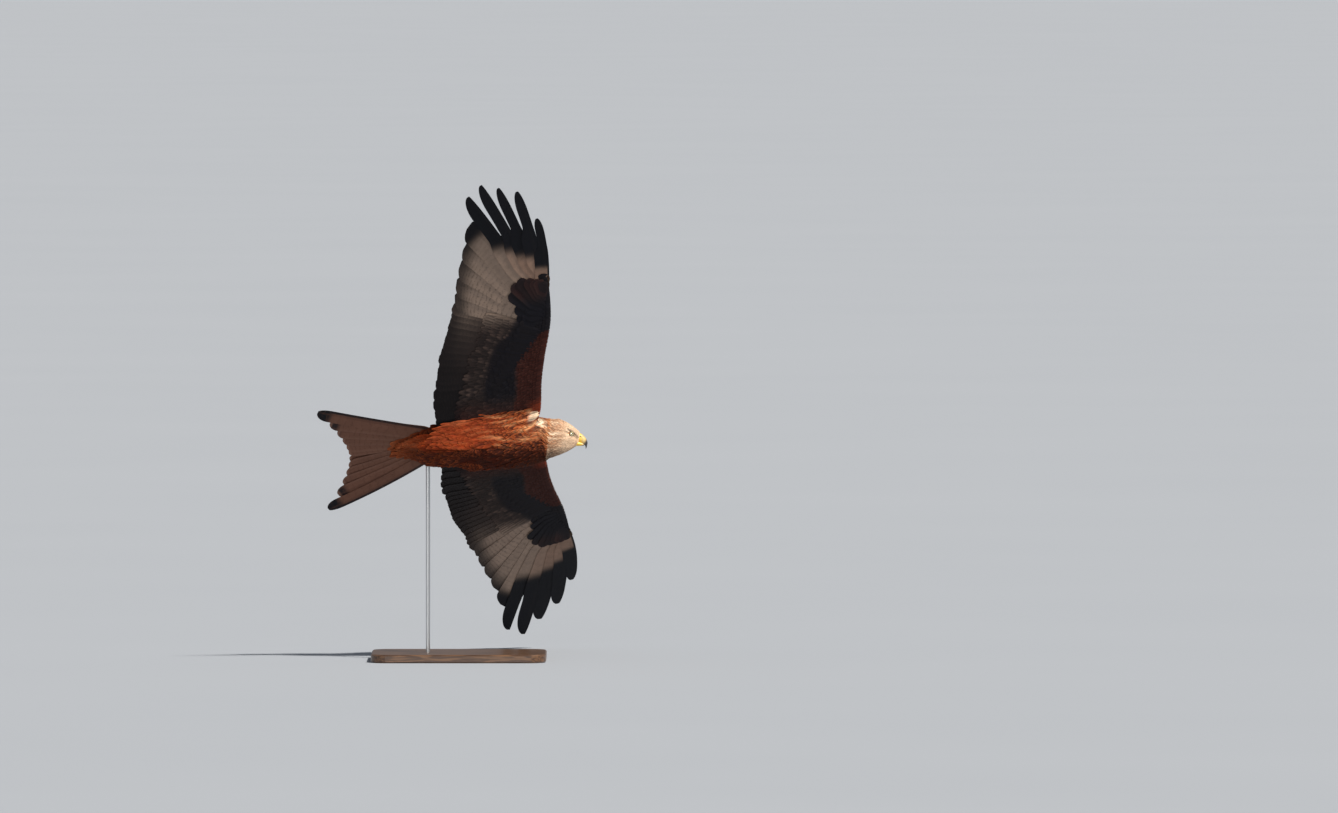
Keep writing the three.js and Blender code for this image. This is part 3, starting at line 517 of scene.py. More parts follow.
def vanePoints(f, surface, kind):  # feathers laid on a height function, from root to tip
    sheet, g = sheets[kind], columns(f)
    t, s = finerTip(sheet["t"], "laid"), sheet["s"]
    alongX, alongY = g["x1"] - g["x0"], g["y1"] - g["y0"]
    length = np.hypot(alongX, alongY)
    narrow = ease((t - g["fingerFrom"]) / 0.14)
    inner, outer = g["inner"] * mix(1, g["finger"], narrow), g["outer"] * mix(1, g["outerFinger"], narrow)
    u = s * np.where(s < 0, inner, outer) * vaneWidth(t, g["quill"], g["tipFrom"], g["blunt"])
    bow = (g["bow"] * 4 * t * (1 - t) + u) * g["outward"] / length
    ahead = t + g["slant"] * u / length * ease((t - 0.5) / 0.5)
    x, y = g["x0"] + alongX * ahead + alongY * bow, g["y0"] + alongY * ahead - alongX * bow
    lift = mix(g["liftRoot"], g["liftTip"], t) + g["flex"] * t**3 + g["tilt"] * u - g["camber"] * s**2
    half = g["thick"] / 2 * mix(1, 0.6, t) * (1 - 0.7 * np.abs(s)) + g["ridge"] * (1 - t) * (np.abs(s) < 0.05)
    return np.stack([x, y, surface(x, y) + lift + (2 * sheet["upper"] - 1) * half], axis=-1)


primarySizes = {
    "tips": (
        (-61, 445), (-52, 493), (-37, 548), (-19, 605), (-3, 669), (2, 755), (35, 783), (76, 754), (122, 716),
        (162, 633),
    ),
    "roots": ((137, 333), (164, 430)),
    "inner": through((1, 37), (5, 40), (6, 36), (10, 25)),
    "outer": through((1, 20), (5, 17), (6, 13), (9, 9), (10, 9.5)),
    "fingers": {"tilt": 0.07, "tipFrom": 0.8, "blunt": 0.95},
    "rest": {"tilt": 0.035, "tipFrom": 0.91, "blunt": 0.86, "slant": 0.45},
}
armSizes = {
    "sunk": 13, "count": 13, "tips": (426, 200), "roots": (312, 186), "ragged": (-1, 2.5),
    "tertials": {"count": 5, "rank": 20, "root": (182, 23), "tip": (198, 29), "ragged": (0, 3)},
    "secondary": {"inner": 26, "outer": 14.5, "tipFrom": 0.91, "blunt": 0.86, "bow": 3, "tilt": 0.045},
    "tertial": {"inner": 27, "outer": 19, "tipFrom": 0.88, "blunt": 0.9, "bow": 3, "tilt": 0.045},
}
handShift = {1: 22, -1: 0}  # how much further out the left hand's markings lie
held = {  # how far the feathers of each wing reach, their bow, and how narrow their fingers are
    1: {
        "secondaryReach": through((0, 1), (12, 1)),
        "reach": through((1, 1.0), (4, 1.01), (5, 1.02), (7, 1.015), (8, 1), (9, 0.985), (10, 1.01)),
        "bow": through((1, 2), (5, 0), (6, -9), (7, -5), (8, 4), (10, 8)),
        "finger": through((6, 0.92), (7, 0.88), (8, 1), (9, 0.9), (10, 0.7)),
        "outerFinger": through((6, 0.12), (7, 0.7), (8, 1), (10, 1)),
        "fingerFrom": through((6, 0.58), (7, 0.58), (8, 0.62), (10, 0.6)),
    },
    -1: {
        "secondaryReach": through((0, 0.95), (4.8, 1), (12, 1)),
        "reach": through((1, 0.96), (5, 0.95), (6, 0.965), (8, 0.968), (9, 1.01), (10, 0.94)),
        "bow": through((1, 2), (6, 3), (10, 8)),
        "finger": through((6, 0.76), (7, 0.64), (8, 0.54), (9, 0.58), (10, 0.48)),
        "outerFinger": through((6, 0.25), (7, 0.4), (8, 0.7), (9, 0.9), (10, 0.9)),
        "fingerFrom": through((6, 0.46), (7, 0.4), (8, 0.48), (9, 0.5), (10, 0.46)),
    },
}


def primaries(side):  # ranks 1 to 10, the outer five fingered
    made, pose = [], held[side]
    for k, (tipX, tipY) in enumerate(primarySizes["tips"], 1):
        x0, y0 = [mix(a, b, (k - 1) / 9) for a, b in zip(*primarySizes["roots"])]
        reach = float(pose["reach"](k))
        shape = primarySizes["rest"]
        if k >= 6:
            narrowed = {p: pose[p](k) for p in ("finger", "outerFinger", "fingerFrom")}
            shape = {**primarySizes["fingers"], **narrowed}
        made.append({
            "rank": k, "x0": x0, "y0": y0, "x1": mix(x0, tipX, reach), "y1": mix(y0, tipY, reach),
            "inner": primarySizes["inner"](k), "outer": primarySizes["outer"](k), "bow": pose["bow"](k),
            "flex": 7 if k >= 8 else 0, "quill": 0.3 if k < 10 else 0.08, **shape,
        })
    return made


def armFeather(rank, rootY, tipY, reach, ragged, shape):
    x0 = float(rearX(rootY)) + armSizes["sunk"]
    x1 = mix(x0, trailX(tipY), reach) + dice.uniform(*ragged)
    return {"rank": rank, "x0": x0, "y0": rootY, "x1": x1, "y1": mix(rootY, tipY, reach), **armSizes[shape]}


def secondaries(side):  # ranks 0 to -12, and the tertials' -21 to -25
    made = []
    for k in range(armSizes["count"]):
        rootY, tipY = [mix(*armSizes[key], k / (armSizes["count"] - 1)) for key in ("roots", "tips")]
        reach = float(held[side]["secondaryReach"](k))
        made.append(armFeather(-k, rootY, tipY, reach, armSizes["ragged"], "secondary"))
    inner = armSizes["tertials"]
    for k in range(1, inner["count"] + 1):
        rootY, tipY = [start - step * k for start, step in (inner["root"], inner["tip"])]
        made.append(armFeather(-inner["rank"] - k, rootY, tipY, 1, inner["ragged"], "tertial"))
    return made


flightLook = {
    "ground": (0.011, 0.009, 0.010), "dark": (0.0055, 0.006, 0.0095), "pale": (0.33, 0.24, 0.187),
    "third": (0.29, 0.175, 0.125), "fourth": (0.042, 0.028, 0.025), "bar": (0.03, 0.024, 0.022),
    "fringe": (0.05, 0.04, 0.036), "streak": (0.012, 0.01, 0.01), "spot": (0.05, 0.04, 0.036),
    "barCount": 125, "barFrom": 0.0, "barSlant": 3, "streakFrom": 0.93, "barbs": 700, "barbSlant": 0.18,
    "mottle": 60, "bump": 0.2, "rough": 0.6, "fringeFrom": 0.965,
}
darkFrom = through(
    (1, 1.02), (3, 1.0), (4, 0.97), (5, 0.87), (6, 0.50), (7, 0.40), (8, 0.345), (9, 0.31), (10, 0.25)
)
windowFade = through((-8, 0), (-5, 0.07), (-3, 0.17), (-1, 0.45), (0, 0.64), (1, 0.86), (2, 1), (10, 1))


def flightMarks(f, shift):  # black fingers, a pale window in the hand, barred and brown towards the body
    sheet, rank = sheets["long"], column(f["rank"])
    t, s, under = finerTip(sheet["t"], "laid"), sheet["s"], 1 - sheet["upper"]
    black = ease((t - darkFrom(rank) - shift / 210 * ease((rank - 5) / 3)) / 0.12 + 0.5 + 0.22 * s)
    black = black * (rank > 0) * mix(0.8, 1, ease(rank - 4.5))
    black = np.maximum(black, ease((s - 0.35) / 0.4) * ease(rank - 8.4))  # the dark leading edge
    window = windowFade(rank) * (1 - black) * under * mix(1, 0.22, ease((t - 0.78) / 0.18) * (rank < 5.5))
    warm = 0.75 * ease((rank - 5.5) / 2.5) * window
    brown = under * 0.7 * ease((rank + 15) / 10) * (rank < 1) * (1 - 0.7 * ease((t - 0.6) / 0.3))
    bars = np.where(rank > 0, mix(0.42, 0.12, ease((rank - 2.5) / 3)), 0.35)
    bars = bars * (1 - black) * ease((t - 0.1) / 0.2)
    fringe = 0.3 * (rank > 0) * (rank < 6) * (1 - black) * ease((t - 0.7) / 0.2)
    return (black, window, warm, brown), (fringe, 0.2, bars, 0)


coverForm = {
    "patchShare": through(
        (1, 0.25), (2, 0.285), (3, 0.38), (4, 0.37), (5, 0.305), (6, 0.195), (7, 0.14), (8, 0.115), (9, 0.07),
        (10, 0.03),
    ),
    "armRows": {  # how far along the long feathers each row reaches, its half width and its lift
        -1: ((0.62, 10, 3.3), (0.52, 9.5, 4.0), (0.42, 9, 4.7), (0.33, 9, 5.4)),
        1: ((0.52, 11, 3.4), (0.40, 10.5, 4.3), (0.30, 10, 5.2)),
    },
    "hand": {"sunk": 12, "share": (0.42, 0.27), "half": {1: (17, 11), -1: (16, 13)}, "lift": (4.6, 3.7)},
    "armSunk": 10,
    "medians": ((38, 52, 13), (20, 56, 14)),  # how far before the flesh's end, length, half width
    "lean": through((24, 2), (90, 8), (160, 15), (312, 29), (345, 38), (380, 58), (430, 78), (470, 86)),
    "first": 1.5, "depth": 175, "rowStep": (5.2, 0.045),  # how far behind the leading edge small rows lie
    "smallLength": (15, 0.27, 46), "smallHalf": (4.6, 0.075, 11.5),  # first, growth backwards, most
}


def handCoverts(longs, face, shift):  # one over or under the root of each primary
    made, form = [], coverForm["hand"]
    liftRoot, liftTip = form["lift"]
    for f in longs[:10]:
        dx, dy, rank = f["x1"] - f["x0"], f["y1"] - f["y0"], f["rank"]
        length, along = math.hypot(dx, dy), (rank - 1) / 9
        share = mix(*form["share"], along)
        if face < 0:
            share = float(coverForm["patchShare"](rank)) + 0.8 * shift / length * float(ease((rank - 4) / 4))
        half = mix(*form["half"][face], along) * (1 - 0.35 * float(ease((rank - 8) / 2)))
        back = form["sunk"] / length
        made.append({
            "x0": f["x0"] - dx * back, "y0": f["y0"] - dy * back, "x1": f["x0"] + dx * share,
            "y1": f["y0"] + dy * share, "inner": half * 1.15, "outer": half * 0.85, "tilt": 0.09,
            "camber": 0.4 * face, "tipFrom": 0.84, "blunt": 0.9, "liftRoot": liftRoot * face,
            "liftTip": liftTip * face, "thick": 0.55,
        })
    return made


def armCoverts(longs, face):  # rows over or under the secondaries and tertials, two feathers for each of them
    made, arm = [], longs[10:]
    for row, (share, half, lift) in enumerate(coverForm["armRows"][face]):
        for i in np.arange(0, len(arm) - 0.6, 0.5):
            i = np.clip(i + 0.25 * (row % 2) + dice.uniform(-0.06, 0.06), 0, len(arm) - 1)
            x0, y0, x1, y1 = [
                np.interp(i, range(len(arm)), [f[p] for f in arm]) for p in ("x0", "y0", "x1", "y1")
            ]
            reach = share * dice.uniform(0.95, 1.04)
            back = coverForm["armSunk"] / math.hypot(x1 - x0, y1 - y0)
            made.append({
                "x0": mix(x0, x1, -back), "y0": mix(y0, y1, -back), "x1": mix(x0, x1, reach),
                "y1": mix(y0, y1, reach), "inner": half, "outer": half * 0.9, "tilt": 0.05,
                "camber": 0.5 * face, "tipFrom": 0.72, "blunt": 0.94, "liftRoot": (lift + 0.5) * face,
                "liftTip": lift * face, "thick": 0.5,
            })
    return made


def alula():  # three small stiff feathers on the wrist, over the leading edge
    return [{
        "x0": leadX(336) - 17 + k * 2, "y0": 334 + k * 3, "x1": leadX(400) - 20 + k * 4,
        "y1": 426 - k * 14, "inner": 10, "outer": 6, "tilt": 0.09, "liftRoot": 6.4 + k * 1.2,
        "liftTip": 5.8 + k * 1.2, "camber": 0.4, "tipFrom": 0.7, "blunt": 0.95,
    } for k in (1, 2, 3)]


def wingTufts(face):  # small coverts in rows from the leading edge back to the flesh's end
    made, d, row = [], coverForm["first"], 0
    sunk, grown = wingForm["coat"] + 0.8, lambda first, growth, most: min(first + growth * d, most)
    while d < coverForm["depth"]:
        length, half = grown(*coverForm["smallLength"]), grown(*coverForm["smallHalf"])
        pitch = half * 1.15
        edge = 1 - float(ease((d - 2) / 10))  # the first rows are broad from the root, and lie evenly
        ys = np.arange(wingForm["root"] + 4 + (row % 2) * pitch / 2, wingForm["end"] + 6, pitch)
        for y in ys[leadX(ys) - rearX(ys) > d + 4]:
            y = y + dice.uniform(-0.22, 0.22) * pitch
            reach = length * mix(1, 0.8, float(ease((y - 250) / 150)))
            angle = math.radians((float(coverForm["lean"](y)) + dice.uniform(-6, 6)) * mix(1, 0.45, edge))
            x = float(leadX(y)) - d + dice.uniform(-0.25, 0.25) * pitch * (1 - edge)
            made.append(leaning(
                x, y, reach, angle, half, camber=0.7 * face, tipFrom=0.45, blunt=0.96, thick=0.4, tilt=0.02,
                quill=mix(0.4, 0.06, edge), liftRoot=(2.4 * edge - sunk) * face,
                liftTip=(0.2 + dice.uniform(-0.3, 0.5)) * face,
            ))
        d += grown(*coverForm["rowStep"], math.inf)
        row += 1
    for ahead, length, half in coverForm["medians"]:
        for y in np.arange(46, 432, half * 1.12):
            angle = math.radians(float(coverForm["lean"](y)) + dice.uniform(-3, 3))
            reach = length * mix(1, 0.72, float(ease((y - 300) / 100)))
            x = float(rearX(y)) + min(ahead, 0.8 * float(leadX(y) - rearX(y)))
            made.append(leaning(
                x, y, reach, angle, half, camber=0.8 * face, tipFrom=0.55, blunt=0.95, thick=0.45, tilt=0.04,
                quill=0.4, liftRoot=-sunk * face, liftTip=(0.6 + dice.uniform(-0.2, 0.4)) * face,
            ))
    return made


underLook = {
    "ground": (0.031, 0.022, 0.020), "dark": (0.0065, 0.0062, 0.0095), "pale": (0.33, 0.24, 0.187),
    "third": (0.048, 0.011, 0.007), "fourth": (0.20, 0.030, 0.009), "bar": (0.02, 0.015, 0.014),
    "fringe": (0.060, 0.038, 0.030), "streak": (0.009, 0.007, 0.008), "spot": (0.10, 0.065, 0.052),
    "streakFrom": 0.6, "barbs": 260, "bump": 0.15, "vary": 0.4, "level": 0.86,
}
upperLook = {
    "ground": (0.035, 0.022, 0.016), "dark": (0.012, 0.010, 0.010), "pale": (0.20, 0.115, 0.062),
    "third": (0.16, 0.055, 0.022), "fourth": (0.2, 0.06, 0.02), "bar": (0.02, 0.015, 0.014),
    "fringe": (0.21, 0.11, 0.055), "streak": (0.010, 0.008, 0.008), "spot": (0.30, 0.20, 0.13),
    "barbs": 160,
}
underZones = {  # each line is a boundary's x at a few places along the wing
    "patch": through((345, 92), (355, 88), (386, 86), (403, 76), (425, 72), (450, 84), (466, 100)),
    "band": through((100, 30), (145, 2), (215, 16), (285, 44), (306, 70), (330, 84), (345, 92)),
    "rufous": through((60, 55), (100, 62), (145, 76), (215, 78), (260, 94), (285, 110), (310, 172)),
    "patchEnd": through((85, 454), (96, 467), (108, 468), (127, 452), (149, 447), (172, 426)),  # y at x
}


def underMarks(x, y, chance):
    ahead = lambda zone, soft: ease((x - underZones[zone](y)) / soft + 0.5)
    patch = ahead("patch", 8) * ease((y - 318) / 24) * ease((underZones["patchEnd"](x) - y) / 6 + 0.5)
    rusty = bell(x, 128, 42) * ease((y - 396) / 26) * mix(0.4, 1.0, chance)  # at the patch's outer end
    rufous = ahead("rufous", 14) * (1 - ease((y - 300) / 25))
    rufous = np.maximum(rufous, 0.75 * (1 - ease((y - 80) / 70)))
    band = ahead("band", 14) * (1 - ease((y - 345) / 20)) * mix(0.25, 1, ease((y - 95) / 60))
    band = band * (1 - rufous) * mix(0.85, 1, chance)
    warm = ease((x - 92) / 26) * (1 - ease((y - 92) / 36))  # bright rufous where the wing meets the breast
    window = ease((y - 318) / 70) * (1 - patch)
    lead = ease((x - leadX(y) + 9 + 20 * ease((y - 425) / 20)) / 6) * ease((y - 300) / 60)
    dark = np.clip(np.maximum(np.maximum(patch * (1 - 0.7 * rusty), band), lead * 0.8), 0, 1)
    trailing = ease((-45 - x) / 20) * (1 - ease((y - 300) / 60)) * 0.6
    red = np.maximum(np.clip(rufous, 0, 1) * (1 - patch), rusty * patch)
    return np.maximum(dark, trailing), window * (1 - lead), red, warm * (1 - patch)


def upperMarks(x, y, chance):  # brown lesser coverts, a paler slanting band, dark hand
    fromRear, hand = x - rearX(y), ease((y - 300) / 60)
    band = bell(fromRear, 8 + 14 * ease((200 - y) / 150), 30) * (1 - hand) * mix(0.5, 1, chance)
    rufous = ease((fromRear - 26) / 24) * (1 - hand) * mix(0.4, 0.9, chance)
    return hand * 0.75 + 0.12 * chance, band, rufous, 0 * x


def wingMarks(x, y, face, chance):
    return [np.where(face > 0, b, a) for a, b in zip(underMarks(x, y, chance), upperMarks(x, y, chance))]


def wingPatch(x, y, face):  # the wing's plan, its upper side beside its under side
    return np.stack([0.02 + y / 500 * 0.46 + (0.5 if face > 0 else 0), 0.05 + (x + 130) / 330 * 0.9], axis=1)


def covertPiece(name, feathers, side, face, surface, kind, place, trimOf):
    f = gathered(feathers)
    chance = dice.uniform(0, 1, len(feathers))
    spot = mix(sheets[kind]["t"], place, 0.4)
    x, y = [mix(column(f[p + "0"]), column(f[p + "1"]), spot) for p in "xy"]
    mark = wingMarks(x, y - handShift[side] * ease((y - 370) / 60), face, column(chance))
    featherPiece(
        name, kind, wingPlace(vanePoints(f, surface, kind), side), chance, mark, trimOf(mark, column(chance)),
        wingPatch(f["x0"], f["y0"], face), "over" if face > 0 else "under",
    )


coverTrims = {  # fringe, shaft streak, bars and spot of the under and the upper coverts
    -1: {
        "arm": lambda mark, chance: (
            0.4 * chance * (1 - mark[0]), 0.5, 0, 0.6 * chance**2 * (1 - mark[0]) * (1 - mark[1])
        ),
        "soft": lambda mark, chance: (0.4 * chance * (1 - mark[0]), 0.45, 0, 0),
    },
    1: {
        "arm": lambda mark, chance: (0.35, 0.5, 0, 0),
        "soft": lambda mark, chance: (0.65 - 0.45 * mark[0], mix(0.25, 0.6, mark[2]), 0, 0),
        "stiff": lambda mark, chance: (0.3, 0.5, 0, 0),
    },
}


def buildWing(side, word):
    longs = primaries(side) + secondaries(side)
    f = {**gathered(longs), "ridge": 0.5, "camber": 0.25}
    mark, trim = flightMarks(f, handShift[side])
    patch, size = strips(len(longs))
    points = wingPlace(vanePoints(f, wingSurface, "long"), side)
    chance = dice.uniform(0, 1, len(longs))
    featherPiece(f"wing_{word}_flight", "long", points, chance, mark, trim, patch, "flight", size)
    for face, label in ((-1, "under"), (1, "over")):
        arm, hand = armCoverts(longs, face), handCoverts(longs, face, handShift[side])
        trims = coverTrims[face]
        skin = lambda x, y: wingSkin(x, y, face)
        covertPiece(f"wing_{word}_arm_{label}", arm, side, face, wingSurface, "covert", 0.72, trims["arm"])
        covertPiece(f"wing_{word}_hand_{label}", hand, side, face, wingSurface, "covert", 0.8, trims["soft"])
        covertPiece(
            f"wing_{word}_small_{label}", wingTufts(face), side, face, skin, "body", 0.6, trims["soft"]
        )
    covertPiece(f"wing_{word}_alula", alula(), side, 1, wingSurface, "covert", 0.5, coverTrims[1]["stiff"])


# Tail

tailForm = {
    "pairs": 6, "outer": 316, "fork": 94, "spread": 26, "rootX": -118, "rootHalf": 31, "height": 13,
    "slope": 0.097, "outerBow": {1: 9, -1: -3},  # the tail twists, and one edge is hollow
    "share": through((1, 0), (2, 0.05), (3, 0.16), (4, 0.33), (5, 0.58), (6, 1)),
    "rumpHalf": through((-260, 30), (-188, 23), (-165, 32), (-140, 39), (-105, 44)),
    "rumpTop": through((-250, 0), (-188, 10.5), (-165, 19), (-140, 27), (-105, 34)),
    "rumpUnder": through((-250, 0), (-188, 9.5), (-165, 17), (-140, 26), (-105, 38)),
    "covertHalf": through((-196, 15), (-165, 23), (-130, 36), (-100, 45)),
    "coverts": {"rows": (-196, -96, 9.0), "half": 8.5, "fan": 20, "length": {-1: 62, 1: 50}},
}
tailLook = {
    "ground": (0.20, 0.085, 0.055), "dark": (0.010, 0.010, 0.013), "pale": (0.165, 0.08, 0.055),
    "third": (0.26, 0.075, 0.028), "fourth": (0.30, 0.17, 0.13), "bar": (0.10, 0.045, 0.03),
    "fringe": (0.27, 0.15, 0.11), "streak": (0.10, 0.045, 0.032), "spot": (0.03, 0.02, 0.02), "barCount": 100,
    "barFrom": 0.4, "streakFrom": 0.95, "barbs": 700, "barbSlant": 0.18, "mottle": 40, "bump": 0.15,
    "rough": 0.6, "fringeFrom": 0.95, "sides": 0.25, "vary": 0.12, "level": 0.82,
}


def tailSurface(x, y):
    return tailForm["height"] + tailForm["slope"] * (x - tailForm["rootX"]) - 0.00012 * y * y


def tailSkin(x, y, face):  # the rump's end thinning out over the tail feathers
    rise = tailForm["rumpTop" if face > 0 else "rumpUnder"](x)
    dome = (trunkForm["axis"](x) - tailSurface(x, y)) * face * ease((x + 250) / 60)
    dome = dome + rise * np.sqrt(np.clip(1 - (y / tailForm["rumpHalf"](x)) ** 2, 0, 1))
    return tailSurface(x, y) + face * np.maximum(dome, 3.6)


def rectrices():
    made, pairs = [], tailForm["pairs"]
    for side in (-1, 1):
        for k in range(1, pairs + 1):
            length = tailForm["outer"] - tailForm["fork"] * (1 - float(tailForm["share"](k)))
            spread = math.radians(tailForm["spread"] * (k - 0.45) / (pairs - 0.45))
            rootY = tailForm["rootHalf"] * (k - 0.5) / (pairs - 0.5)
            lift = 2.4 if k == 1 and side > 0 else 0
            made.append({
                "rank": k, "x0": tailForm["rootX"], "y0": side * rootY,
                "x1": tailForm["rootX"] - length * math.cos(spread),
                "y1": side * (rootY + length * math.sin(spread)), "outward": side,
                "inner": 16 if k == 1 else 25, "outer": 11 if k == pairs else 19,
                "bow": tailForm["outerBow"][side] if k == pairs else 2, "tilt": 0.07, "quill": 0.16,
                "liftRoot": lift, "liftTip": lift, "tipFrom": 0.9,
            })
    return gathered(made)


def tailCoverts(face):
    made, form = [], tailForm["coverts"]
    for row, x in enumerate(np.arange(*form["rows"])):
        half = float(tailForm["covertHalf"](x))
        n = int(2 * half / form["half"])
        for i in range(n):
            y = -half + 2 * half * (i + 0.25 + 0.5 * (row % 2)) / n + dice.uniform(-1.5, 1.5)
            angle = math.radians(form["fan"] * y / half + dice.uniform(-5, 5))
            length = form["length"][face] * (1 - 0.25 * abs(y / half)) * dice.uniform(0.85, 1.05)
            made.append(leaning(
                x, y, length, angle, form["half"], camber=1.2 * face, tipFrom=0.55, quill=0.4,
                liftRoot=-4 * face, liftTip=dice.uniform(0.2, 1.6) * face, thick=0.45,
            ))
    return gathered(made)


def buildTail():
    f = {**rectrices(), "ridge": 0.5, "camber": 0.15}
    sheet, rank = sheets["long"], column(f["rank"])
    t, s, upper = finerTip(sheet["t"], "laid"), sheet["s"], sheet["upper"]
    corner = ease((t - mix(0.97, 0.86, ease((rank - 3) / 3))) / 0.05) * ease((rank - 2.5) / 3)
    web = ease((s - 0.1) / 0.4) * ease((rank - 5.2) / 0.6) * mix(0.75, 1, t) * mix(1, 0.9, upper)
    mark = (np.maximum(corner, web) * mix(1, 0.85, upper), (1 - upper) * 0.85, upper * 0.8, 0)
    trim = (0.7 * (1 - ease(rank - 5)), 0.4, mix(0.4, 0.6, upper), 0)
    patch, size = strips(2 * tailForm["pairs"])
    chance = dice.uniform(0, 1, len(rank))
    points = vanePoints(f, tailSurface, "long")
    featherPiece("tail_flight", "long", points, chance, mark, trim, patch, "tail", size)
    for face, label in ((-1, "under"), (1, "over")):
        f = tailCoverts(face)
        chance = dice.uniform(0, 1, len(f["x0"]))
        u = mix(f["x0"], f["x1"], 0.6)
        mark = [column(m) for m in bodyMarks(u, np.full(len(u), face * math.pi / 2), chance)]
        sideways = 0.1 + (f["y0"] + 50) / 100 * 0.35 + (0.45 if face > 0 else 0)
        patch = np.stack([sideways, 0.05 + (f["x0"] + 200) / 110 * 0.9], axis=1)
        points = vanePoints(f, lambda x, y: tailSkin(x, y, face), "body")
        featherPiece(f"tail_coverts_{label}", "body", points, chance, mark, (0.3, 0.2, 0, 0), patch, "body")


# Body coat

bodyLook = {
    "ground": (0.31, 0.037, 0.0065), "dark": (0.022, 0.010, 0.008), "pale": (0.74, 0.35, 0.155),
    # fourth: brighter than white, the painted highlight on the shoulders
    "third": (0.062, 0.012, 0.006), "fourth": (1.3, 1.12, 0.82), "bar": (0.1, 0.04, 0.02),
    "fringe": (0.52, 0.115, 0.027), "streak": (0.030, 0.009, 0.006), "spot": (0.6, 0.5, 0.4),
    "streakFrom": 0.5, "streakTo": 0.95, "streakEnd": 0.14, "barbs": 240, "bump": 0.15, "shine": 0.08,
    "fringeFrom": 0.62, "sidesFrom": 0.85, "sides": 0.7, "vary": 0.5, "grain": (0.3, 1, 1), "blotch": 1.1,
    "mottle": 110,
}
headLook = {
    "ground": (0.68, 0.46, 0.30), "dark": (0.05, 0.036, 0.028), "pale": (0.84, 0.64, 0.46),
    "third": (0.42, 0.15, 0.05), "fourth": (0.7, 0.5, 0.3), "bar": (0.1, 0.08, 0.06),
    "fringe": (0.86, 0.68, 0.50), "streak": (0.085, 0.05, 0.034), "spot": (0.6, 0.5, 0.4),
    "grain": (0.4, 1, 1), "streakFrom": 0.56, "streakEnd": 0.06, "barbs": 130, "bump": 0.12, "shine": 0.08,
    "vary": 0.45, "blotch": 0.5, "level": 1.07,
}


def backShare(angle):
    return ease((np.sin(angle) - 0.15) / 0.45)


def bodyMarks(u, angle, chance):  # how dark, pale and deep rufous the trunk and neck are, with painted shade and a painted shoulder highlight
    up, back = np.sin(angle), backShare(angle)
    dark = back * (1 - ease((u - 110) / 60)) * mix(0.55, 0.95, chance) * ease((u + 190) / 60)
    below = ease((-up - 0.2) / 0.6) * (1 - ease((u - 140) / 20))
    pale = ease((u - 92 + 46 * (chance - 0.5)) / 72) * mix(1, 0.55, below)
    # painted highlight: a whitish patch on each shoulder standing in for a glint of sun
    shoulderGlint = bell(u, 127, 12) * bell(up, 0.2, 0.28)
    deep = (1 - back) * (1 - pale) * mix(0, 0.75, chance**1.5) * mix(0.6, 1, bell(u, 80, 70))
    # painted shade: the lower belly and round its left side are darkened, as if out of the key light, fading
    # out at the neck
    paintedShade = ease((np.cos(angle) + 0.86) / 0.4) * ease((-up - 0.1) / 0.3) * (1 - ease((u - 150) / 30))
    paintedShade = paintedShade * mix(0.92, 1, ease((u + 70) / 60)) * mix(0.35, 1, ease((u + 225) / 60))
    deep = np.maximum(deep, paintedShade * mix(0.6, 1, chance))
    dark = np.maximum(dark, 0.72 * paintedShade * paintedShade * mix(0.6, 1, chance) * (1 - back))
    pale = np.maximum(pale, mix(0.08, 0.3, chance) * (1 - ease((u + 195) / 45)))
    return dark * (1 - shoulderGlint), pale, deep, np.clip(1.7 * shoulderGlint, 0, 1)


def streaks(u, angle):  # wavy buff lines and dark lines between them, strongest on the breast
    phase = angle * 29 + 1.8 * np.sin(u / 21 + 3 * angle) + 1.6 * np.sin(u / 43 - 7 * angle)
    wave = np.sin(phase) + 0.5 * np.sin(u / 17 + 8 * angle)
    strength = mix(0.35, 1, ease((u + 90) / 110)) * (1 - ease((u - 162) / 30))
    bright = ease((-wave - 0.2) / 0.8) * strength * mix(0.25, 1, ease((u + 30) / 90))
    return bright, 0.95 * ease((wave - 0.1) / 0.8) * strength


def streaksOn(f, kind):  # the streaks where each vertex of draped feathers lies
    sheet, g = sheets[kind], columns(f)
    around = g["half"] / column(aroundStep(bodyPlace, f["u"], f["angle"]))
    return streaks(g["u"] - g["length"] * finerTip(sheet["t"], "draped"), g["angle"] + sheet["s"] * around)


def bodyTrim(u, angle, chance):
    back = backShare(angle)
    streak = mix(0.1, 0.6, ease(u / 80)) * (1 - 0.3 * back)
    fringe = mix(0.2, 0.8, ease((u - 10) / 80)) * mix(0.4, 1, chance)
    # painted shade: the orange fringes fade out on the lower and left side of the trunk
    return fringe * (1 - 0.75 * ease((np.cos(angle) + 0.66) / 0.4) * (1 - back)), streak, 0, 0


def aroundPatch(angle, share, low=0.01, span=0.97):  # a closed form's plan, its length upwards
    return np.stack([low + np.mod(angle / fullTurn, 1) * span, low + share * span], axis=1)


def bodyPatch(u, angle):
    return aroundPatch(angle, (u - trunkForm["tailOn"]) / (headTo - trunkForm["tailOn"]))


def coatFeathers(u, angle, length, widthShare, raised=0.0):
    n = len(u)
    return {
        "u": u, "angle": angle, "length": length * dice.uniform(0.85, 1.12, n),
        "half": length * widthShare * dice.uniform(0.9, 1.1, n), "yaw": dice.normal(0, 0.1, n),
        "rootHeight": np.full(n, -0.6),
        "tipHeight": coatDepth(u) + raised + dice.uniform(-0.6, 0.9, n) * length / 25,
        "camber": length * 0.045, "thick": 0.18 + length * 0.008,
    }


bodyCoat = {
    "length": through((-190, 38), (-100, 36), (0, 36), (70, 34), (118, 28), (headFrom, 17)),
    "widthShare": 0.145, "pitchShare": 0.16, "stretch": 2.1,
    "parts": {"rear": (-158, 0), "front": (0, headFrom)},
}


